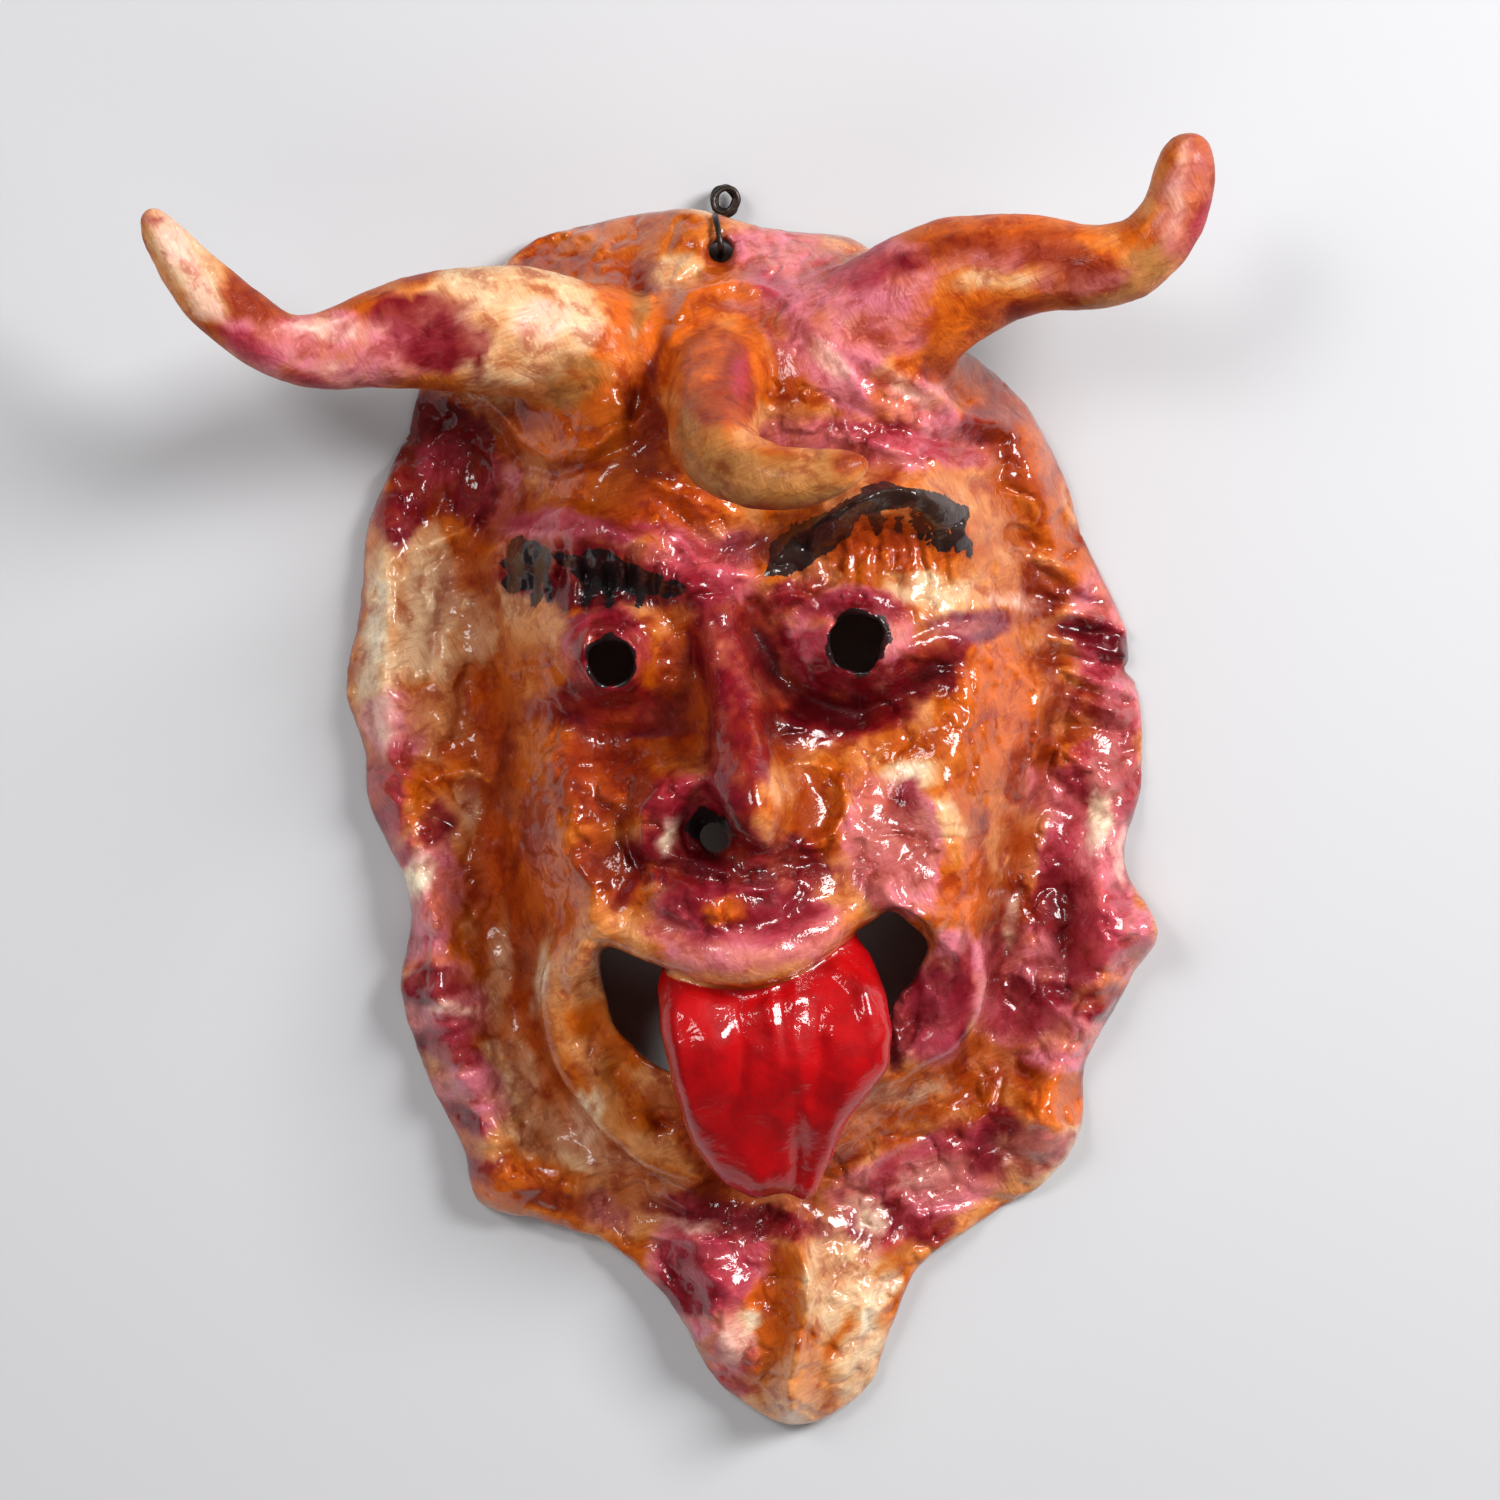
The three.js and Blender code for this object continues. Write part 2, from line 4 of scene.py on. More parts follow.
import bpy
import numpy as np
import openvdb
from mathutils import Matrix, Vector


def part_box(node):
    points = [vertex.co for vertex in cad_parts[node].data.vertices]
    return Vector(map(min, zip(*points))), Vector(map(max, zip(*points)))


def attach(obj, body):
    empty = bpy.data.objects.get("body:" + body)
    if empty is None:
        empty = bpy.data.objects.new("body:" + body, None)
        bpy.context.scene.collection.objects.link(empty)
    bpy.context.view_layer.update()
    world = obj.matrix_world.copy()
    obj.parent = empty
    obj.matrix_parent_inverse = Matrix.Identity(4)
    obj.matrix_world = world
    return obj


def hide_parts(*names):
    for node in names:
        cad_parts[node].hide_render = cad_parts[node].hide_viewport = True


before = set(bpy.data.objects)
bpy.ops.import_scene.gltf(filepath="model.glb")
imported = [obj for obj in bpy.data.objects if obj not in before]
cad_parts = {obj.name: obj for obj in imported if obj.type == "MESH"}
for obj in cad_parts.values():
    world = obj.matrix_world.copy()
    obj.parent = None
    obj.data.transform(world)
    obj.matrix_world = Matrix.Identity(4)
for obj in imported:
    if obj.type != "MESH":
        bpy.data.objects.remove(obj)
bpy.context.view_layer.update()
mask_low, mask_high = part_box("mask")

# Lengths here are in millimetres unless a name says otherwise. The form is laid out in percent of the
# mask's height, from the middle of its design, as the CAD lays it out.
METRES = 0.001
SHARE = (mask_high[1] - mask_low[1]) / METRES / 100
DESIGN_MIDDLE = (-0.468, -0.042)
WALL = 8.0
RIM = 9.0 / SHARE
RIM_ROUNDING = 5.0 / SHARE
RIM_FOOT = 6.0 / SHARE

# The camera looks straight down from over the photograph's middle. One pixel of the photograph's
# 1500 x 1500 frame is this long on the surface that the mask lies on.
PIXEL = 0.25
PHOTO_MIDDLE = 750
CAMERA_OVER = (17.1, 11.1)
CAMERA_HEIGHT = 1100.0

# Size of the cells that the form is sampled in, and the triangles kept.
CELL = 0.7
TRIANGLES = 192000

# The rim as it shows from the front, clockwise from the crown.
OUTLINE = [
    (-12.5, 43.4), (-8.5, 45), (-3, 46.1), (0.9, 46.2), (6.4, 44.6), (13.5, 43.9), (22.5, 35), (27.6, 31),
    (30.2, 26.3), (32, 20.8), (34.7, 15.3), (36.4, 9), (36.8, 1.2), (35.3, -5.1), (37.5, -10.6),
    (35.5, -15.4), (32.4, -21.2), (31.8, -27), (29.2, -30.5), (24.5, -33.7), (19, -37.5), (17, -42.1),
    (14.7, -47.2), (9.6, -50), (4.8, -48), (2.1, -45.2), (-0.7, -40.5), (-4.6, -36.2), (-10.9, -33.8),
    (-16, -32.3), (-17.2, -28.3), (-20.7, -20.9), (-22.2, -15), (-21.5, -8.3), (-24.3, -2), (-25.2, 3.5),
    (-26.6, 8.2), (-25.6, 13.7), (-24.7, 21.6), (-21.9, 28.7), (-18.8, 36.6),
]
MOUTH = [
    (-5.7, -11.6), (-1.5, -11.6), (4.4, -13.4), (9.6, -12.6), (13.5, -10.4), (16.4, -8.4), (18.4, -9.2),
    (19.2, -11), (18.2, -13.6), (16.6, -16), (15.6, -19.4), (9.6, -22.4), (1.7, -22), (-2.2, -20.3),
    (-4.6, -17.7), (-5.8, -14.6),
]
TONGUE_OUTLINE = [
    (-1, -12.4), (1.6, -11), (7, -10), (12.6, -10), (14.4, -12), (15.9, -15.6), (16, -19.6), (14.7, -22.6),
    (12.8, -25.2), (11.4, -28.2), (9.9, -31.2), (8, -30.6), (5.6, -30.8), (3.2, -29.6), (1.2, -26.8),
    (0, -23), (-0.9, -19), (-1.4, -15.4),
]

DOME = dict(at=(4.9, 6.8), left=20.8, right=24.6, above=41.5, below=37, power=2.6, rise=10.4)

# Soft mounds (and hollows, where the rise is negative): middle, the two reaches, turn in degrees, rise.
MOUNDS = {
    "forehead left": ((-11, 35), (10, 6.6), -4, 5.4),
    "forehead right": ((18, 35.5), (9.5, 7.5), 20, 4.8),
    "forehead middle": ((3.2, 31), (6.5, 6.5), 0, 2.2),
    "forehead crease": ((-2.8, 34.5), (1.6, 6.5), 5, -2.6),
    "forehead gap": ((7.8, 19.4), (3, 2.2), 20, -2.2),
    "left temple": ((-19.5, 26), (4, 6.5), 10, -2.4),
    "left eyeball": ((-5, 10.3), (3.9, 3.9), 0, 3.4),
    "left eye hollow": ((-5.4, 4.4), (5.2, 2.4), 0, -2.6),
    "right eyeball": ((13.8, 11.8), (4.2, 3.7), 10, 2.6),
    "left cheek": ((-8.5, -1.5), (5, 6), 0, 1.4),
    "right cheek": ((24, 4.5), (5, 9), 5, 2.4),
    "left nose wing": ((0.4, -0.6), (4.4, 3.4), 15, 5.2),
    "right nose wing": ((10.6, -0.8), (3.8, 3.4), -10, 3.8),
    "nostril dent": ((2.2, -1.8), (2, 1.9), 0, -3.6),
    "glassy dent": ((10.4, -0.6), (2, 1.9), 0, -1.8),
    "muzzle": ((4, -4.6), (7.4, 6.4), 0, 2.6),
    "upper lip": ((4.4, -8.6), (9.4, 3.7), -4, 5.6),
    "right lip corner": ((16.8, -4.6), (5, 4.2), 35, 2.2),
    "lower lip": ((7.2, -25.2), (7.5, 4.4), 0, 5.2),
    "left corner": ((-13.5, -30.4), (4, 3), -25, 2.6),
    "right corner": ((29, -26.5), (3.4, 3.6), 0, 2.4),
    "chin": ((7.5, -39.5), (8, 8.5), 0, 3.4),
    "crown lift": ((2.8, 46), (4.5, 3.4), 0, 3),
    "right ear lift": ((37.3, -10.4), (3.4, 3.6), 0, 4.6),
    "left ear lift": ((-22.6, -15), (2.6, 2.6), 0, 2.4),
    "left chin lift": ((-4.5, -37.5), (4.2, 2), -45, 1.8),
    "right chin lift": ((20.5, -37), (4, 2.4), 40, 1.8),
}

# Ridges (and grooves, where the rise is negative): chain of (x, y, rise) and half-width.
FOLDS = {
    "nose ridge": (((2.7, 15.4, 1.6), (4.4, 8.2, 3.4), (5.5, 2.2, 6), (6, -0.8, 6)), 2.6),
    "left lip": ((
        (-6.4, -10, 3.2), (-9.3, -14.9, 4.8), (-8.8, -19.2, 4.6), (-5.8, -23.8, 3.8), (0.5, -28.8, 2.6),
    ), 2),
    "right lip": ((
        (16.4, -7.2, 2.4), (21.4, -10.8, 4), (22.3, -14.4, 4.2), (20.6, -18.4, 3.6), (16.6, -21.4, 2.6),
    ), 2),
    "left brow": (((-13.5, 17.8, 1.8), (-8.8, 20.3, 2.8), (-2.7, 18.6, 3), (1.1, 15.9, 1.6)), 2),
    "right brow": ((
        (6.8, 16.9, 1.6), (9.4, 19.9, 2.8), (14, 22.6, 3.2), (18.6, 23.1, 2.8), (21.8, 21.2, 1.6),
    ), 1.9),
    "right eye trough": (((5.9, 12.4, -1.4), (8.7, 7.9, -2.6), (14, 6.4, -2.6), (20, 8.4, -1.4)), 1.6),
    "right smile": (((17.5, 2.5, 0.6), (21, -2, 2), (22.4, -8, 2.2)), 2),
    "left valley": ((
        (-16.3, 15.3, -0.6), (-15.5, 2.7, -1), (-13.6, -8.2, -1.6), (-12, -16.8, -1.6), (-8, -25, -1.2),
    ), 2),
    "right valley": ((
        (28, 3, -1.4), (26.3, -4.3, -2.4), (25.3, -11.3, -2.2), (25.5, -17.6, -1.4), (23, -23, -0.8),
    ), 1.7),
    "left rim": ((
        (-22.2, 25, 1.6), (-23, 15.2, 2), (-22.6, 2.7, 2.2), (-19.9, -8.2, 3), (-18, -18, 2.4),
        (-14.8, -27, 1.8),
    ), 2.1),
    "upper right rim": (((27, 28, 2.4), (29, 21, 2.6), (31, 15, 1.6)), 2),
    "lower right rim": (((34.4, -2, 2), (33, -7.5, 2.4), (33, -16, 2.2), (28.4, -24, 2)), 1.7),
    "furrow one": (((26.6, 20.4, -1), (30.4, 19, -1.6)), 0.9),
    "furrow two": (((28.2, 15.6, -1.2), (32.6, 13.6, -2)), 1),
    "furrow three": (((29.4, 10.6, -1.4), (35.4, 8.6, -3.2)), 1.2),
    "furrow four": (((29, 5.6, -1.2), (34.4, 4, -2.2)), 1),
    "ridge three": (((29.8, 12.4, 1), (35, 11, 2.2)), 0.9),
    "ridge four": (((29.6, 7.8, 1), (34.8, 6, 2.2)), 0.9),
    "chin fold": (((8.7, -33, 1.2), (9.6, -38, 2), (8.9, -47.5, 2.2)), 1.5),
    "left chin fold": (((0.5, -32, 1.4), (2.6, -37, 1.8), (3.4, -43, 1.2)), 1.7),
}

# Swept forms: stations of (x, y, z, radius) along the middle line, with a list of squash across.
HORN_LEFT = [
    (-5, 34.6, 10.6, 4.4), (-12, 35.5, 12.9, 5.2), (-18.7, 35.4, 14.8, 4.65), (-22.6, 34.6, 16.2, 3.85),
    (-26.3, 33.8, 17.1, 3.1), (-29.6, 34, 17.8, 2.6), (-32.8, 35.9, 18.4, 2.5), (-35.7, 38.5, 19, 2.4),
    (-38.1, 41.6, 19.5, 1.8), (-39.1, 43.1, 19.7, 1.05),
]
HORN_RIGHT = [
    (11, 34.4, 10.4, 4.6), (16.6, 36.8, 12.6, 5.5), (20.8, 39, 14.2, 5), (24.6, 40.1, 15.6, 4.25),
    (28.3, 40.2, 16.5, 3.6), (31.8, 39.9, 17.5, 3.35), (35.2, 41, 18.4, 3), (37.2, 43.4, 19, 2.8),
    (38, 46.2, 19.7, 2.45), (38.3, 48, 20, 1.9), (38.4, 48.6, 20, 1.3),
]
HORN_MIDDLE = [
    (3.2, 32.8, 11, 4.1), (3.1, 31.2, 16.5, 3.8), (2.9, 28.8, 22, 3.6), (3.1, 26.2, 26.5, 3.3),
    (4.4, 24.3, 30, 2.9), (6.9, 23.3, 32.2, 2.6), (9.6, 23.1, 33.2, 2.3), (12.1, 23.6, 33.8, 1.7),
    (13.2, 23.9, 34, 1.1),
]
NOSE = [
    (2.7, 15.2, 13.4, 1), (3.4, 11, 15, 1.2), (4.2, 7.4, 16.8, 1.5), (5, 3, 19.2, 2.1),
    (5.7, -0.2, 20.8, 2.3), (6.3, -1.9, 21.2, 1.5), (6.6, -2.8, 20.8, 0.8),
]
LIP_UPPER = [
    (-5.7, -9.2, 14.6, 1.5), (-2.3, -10.6, 16.6, 2), (1.5, -11.6, 18, 2.3), (4.9, -12, 18.6, 2.4),
    (8.6, -11.2, 18, 2.2), (12, -9.4, 16.6, 1.8), (14.9, -8, 14.8, 1.3),
]
LIP_LEFT = [
    (-5.4, -9.4, 13, 1.2), (-7.6, -11.6, 12.2, 1.7), (-9.1, -14.9, 11, 1.7), (-8.7, -19.2, 9.6, 1.7),
    (-5.8, -23.8, 8.4, 1.7), (-2.1, -27.6, 7.4, 1.6), (1, -29.2, 6.4, 1.3),
]
LIP_RIGHT = [
    (15.6, -7.2, 13.4, 1.3), (18.6, -8.4, 13, 1.8), (21.4, -11, 12, 1.8), (22.2, -14.4, 11.2, 1.8),
    (20.8, -18.2, 10, 1.7), (17.4, -20.8, 9, 1.4),
]

# Height of the tongue's middle surface from its root under the lip to its tip: (y, z).
TONGUE_HEIGHTS = [
    (-9.8, 13), (-12.4, 14.6), (-15.6, 16.4), (-19.8, 16.8), (-23.6, 15), (-27, 12.4), (-31.2, 9.4),
]
TONGUE_HALF_THICKNESS = 2.1

LEFT_EYE = (-5, 10.1)
RIGHT_EYE = (13.6, 11.7)
NOSTRIL = (2.4, -2)
CROWN_HOLE = (3.3, 42.4)
EYE_HOLE_LEFT = 10.5
EYE_HOLE_RIGHT = 13.0
NOSTRIL_HOLE = 6.0
WIRE_HOLE = 6.0

# Height, in shares, at which a hole that leans passes its named place.
LEAN_PIVOT = 11.25

# How far in from the outline, in shares, the rim's rounding and its foot reach.
RIM_REACH = 3.5
FOOT_REACH = 4

# How much of the front's unevenness the back leaves out: the blur in shares, and the thinning of the wall.
BACK_BLUR = 2.1
BACK_THINNING = 0.3

# Widths over which the form's seams and edges are rounded, in millimetres.
RIM_EDGE = 3.5
MOUTH_EDGE = 2.5
HORN_SEAM = 7
MIDDLE_HORN_SEAM = 2.5
NOSE_SEAM = 7
LIP_SEAM = 3
TONGUE_SIDE = 7
TONGUE_SEAM = 2
BACK_EDGE = 2
HOLE_EDGE = 1.6
FOOT_EDGE = 0.7


def smoothstep(value, start, end):
    t = np.clip((value - start) / (end - start), 0, 1)
    return t * t * (3 - 2 * t)


def blend_in(a, b, width):
    """Joins two fields that are negative inside, rounding the seam over a width."""
    h = np.clip(0.5 + 0.5 * (b - a) / width, 0, 1)
    return b + (a - b) * h - width * h * (1 - h)


def cut_out(a, b, width):
    """Keeps what is inside both fields, rounding the edge over a width."""
    return -blend_in(-a, -b, width)


def closed_curve(points, steps):
    """Points along a smooth closed curve (centripetal Catmull-Rom) through the given ones."""
    p = np.array(points, float)
    count = len(p)
    curve = []
    for i in range(count):
        a, b, c, d = p[i - 1], p[i], p[(i + 1) % count], p[(i + 2) % count]
        curve.append(spline_piece(a, b, c, d, steps))
    return np.concatenate(curve)


def open_curve(points, steps):
    """Points along a smooth open curve through the given ones."""
    p = np.array(points, float)
    p = np.vstack([2 * p[0] - p[1], p, 2 * p[-1] - p[-2]])
    pieces = [spline_piece(*p[i:i + 4], steps) for i in range(len(p) - 3)]
    return np.vstack(pieces + [p[-2:-1]])


def spline_piece(a, b, c, d, steps):
    t = np.linspace(0, 1, steps, endpoint=False)[:, None]
    k1, k2, k3 = (max(np.linalg.norm(q - r) ** 0.5, 1e-6) for q, r in ((b, a), (c, b), (d, c)))
    m1 = (c - b) + k2 * ((b - a) / k1 - (c - a) / (k1 + k2))
    m2 = (c - b) + k2 * ((d - c) / k3 - (d - b) / (k2 + k3))
    return ((2 * t ** 3 - 3 * t ** 2 + 1) * b + (t ** 3 - 2 * t ** 2 + t) * m1
            + (-2 * t ** 3 + 3 * t ** 2) * c + (t ** 3 - t ** 2) * m2)


def distance_in(x, y, polygon):
    """Distance in from a closed polygon's edge at each place, negative outside it."""
    nearest = np.full(x.shape, 1e9, np.float32)
    inside = np.zeros(x.shape, bool)
    for (ax, ay), (bx, by) in zip(polygon, np.roll(polygon, -1, axis=0)):
        along = ((x - ax) * (bx - ax) + (y - ay) * (by - ay)) / ((bx - ax) ** 2 + (by - ay) ** 2)
        t = np.clip(along, 0, 1)
        nearest = np.minimum(nearest, (x - ax - t * (bx - ax)) ** 2 + (y - ay - t * (by - ay)) ** 2)
        if ay != by:
            crosses = (ay > y) != (by > y)
            inside ^= crosses & (x < ax + (y - ay) / (by - ay) * (bx - ax))
    distance = np.sqrt(nearest)
    return np.where(inside, distance, -distance)


def mound(x, y, at, reach, turn, rise):
    angle = math.radians(turn)
    dx, dy = x - at[0], y - at[1]
    u = (dx * math.cos(angle) + dy * math.sin(angle)) / reach[0]
    v = (dy * math.cos(angle) - dx * math.sin(angle)) / reach[1]
    return rise * np.exp(-u * u - v * v)


def nearest_on(x, y, chain):
    """Distance to a chain of points, and the third value of the chain at the nearest one."""
    nearest = np.full(x.shape, 1e9, np.float32)
    value = np.zeros(x.shape, np.float32)
    for (ax, ay, a_value), (bx, by, b_value) in zip(chain, chain[1:]):
        along = ((x - ax) * (bx - ax) + (y - ay) * (by - ay)) / ((bx - ax) ** 2 + (by - ay) ** 2)
        t = np.clip(along, 0, 1)
        distance = np.hypot(x - ax - t * (bx - ax), y - ay - t * (by - ay))
        closer = distance < nearest
        nearest = np.where(closer, distance, nearest)
        value = np.where(closer, a_value + t * (b_value - a_value), value)
    return nearest, value


def fold(x, y, chain, half_width):
    nearest, rise = nearest_on(x, y, chain)
    return rise * np.exp(-(nearest / half_width) ** 2)


def noise(x, y, size, seed, octaves=3):
    """Smooth random heights between about -1 and 1, with features of the given size."""
    total = np.zeros(np.broadcast(x, y).shape, np.float32)
    weight, sum_of_weights = 1.0, 0.0
    for octave in range(octaves):
        lattice = np.random.default_rng(seed * 17 + octave).uniform(-1, 1, (64, 64)).astype(np.float32)
        u = x / size * 2 ** octave + 13.7 * octave
        v = y / size * 2 ** octave + 7.3 * octave
        i, j = np.floor(u).astype(int), np.floor(v).astype(int)
        s, t = u - i, v - j
        s, t = s * s * (3 - 2 * s), t * t * (3 - 2 * t)
        i0, i1, j0, j1 = i % 64, (i + 1) % 64, j % 64, (j + 1) % 64
        low = lattice[i0, j0] * (1 - s) + lattice[i1, j0] * s
        high = lattice[i0, j1] * (1 - s) + lattice[i1, j1] * s
        total += weight * (low * (1 - t) + high * t)
        sum_of_weights += weight
        weight *= 0.5
    return total / sum_of_weights * 1.6


def dome(x, y):
    dx = np.abs(x - DOME["at"][0]) / np.where(x < DOME["at"][0], DOME["left"], DOME["right"])
    dy = np.abs(y - DOME["at"][1]) / np.where(y < DOME["at"][1], DOME["below"], DOME["above"])
    out = (dx ** DOME["power"] + dy ** DOME["power"]) ** (1 / DOME["power"])
    return DOME["rise"] * (1 - smoothstep(out, 0.6, 1.06))


def blurred(values, cells):
    """Box blur, twice, by a reach in cells."""
    for _ in range(2):
        for axis in (0, 1):
            pad = [(0, 0), (0, 0)]
            pad[axis] = (cells + 1, cells)
            summed = np.cumsum(np.pad(values, pad, mode="edge"), axis=axis, dtype=np.float64)
            width = 2 * cells + 1
            top = np.take(summed, range(width, summed.shape[axis]), axis=axis)
            bottom = np.take(summed, range(0, summed.shape[axis] - width), axis=axis)
            values = (top - bottom) / width
    return values.astype(np.float32)


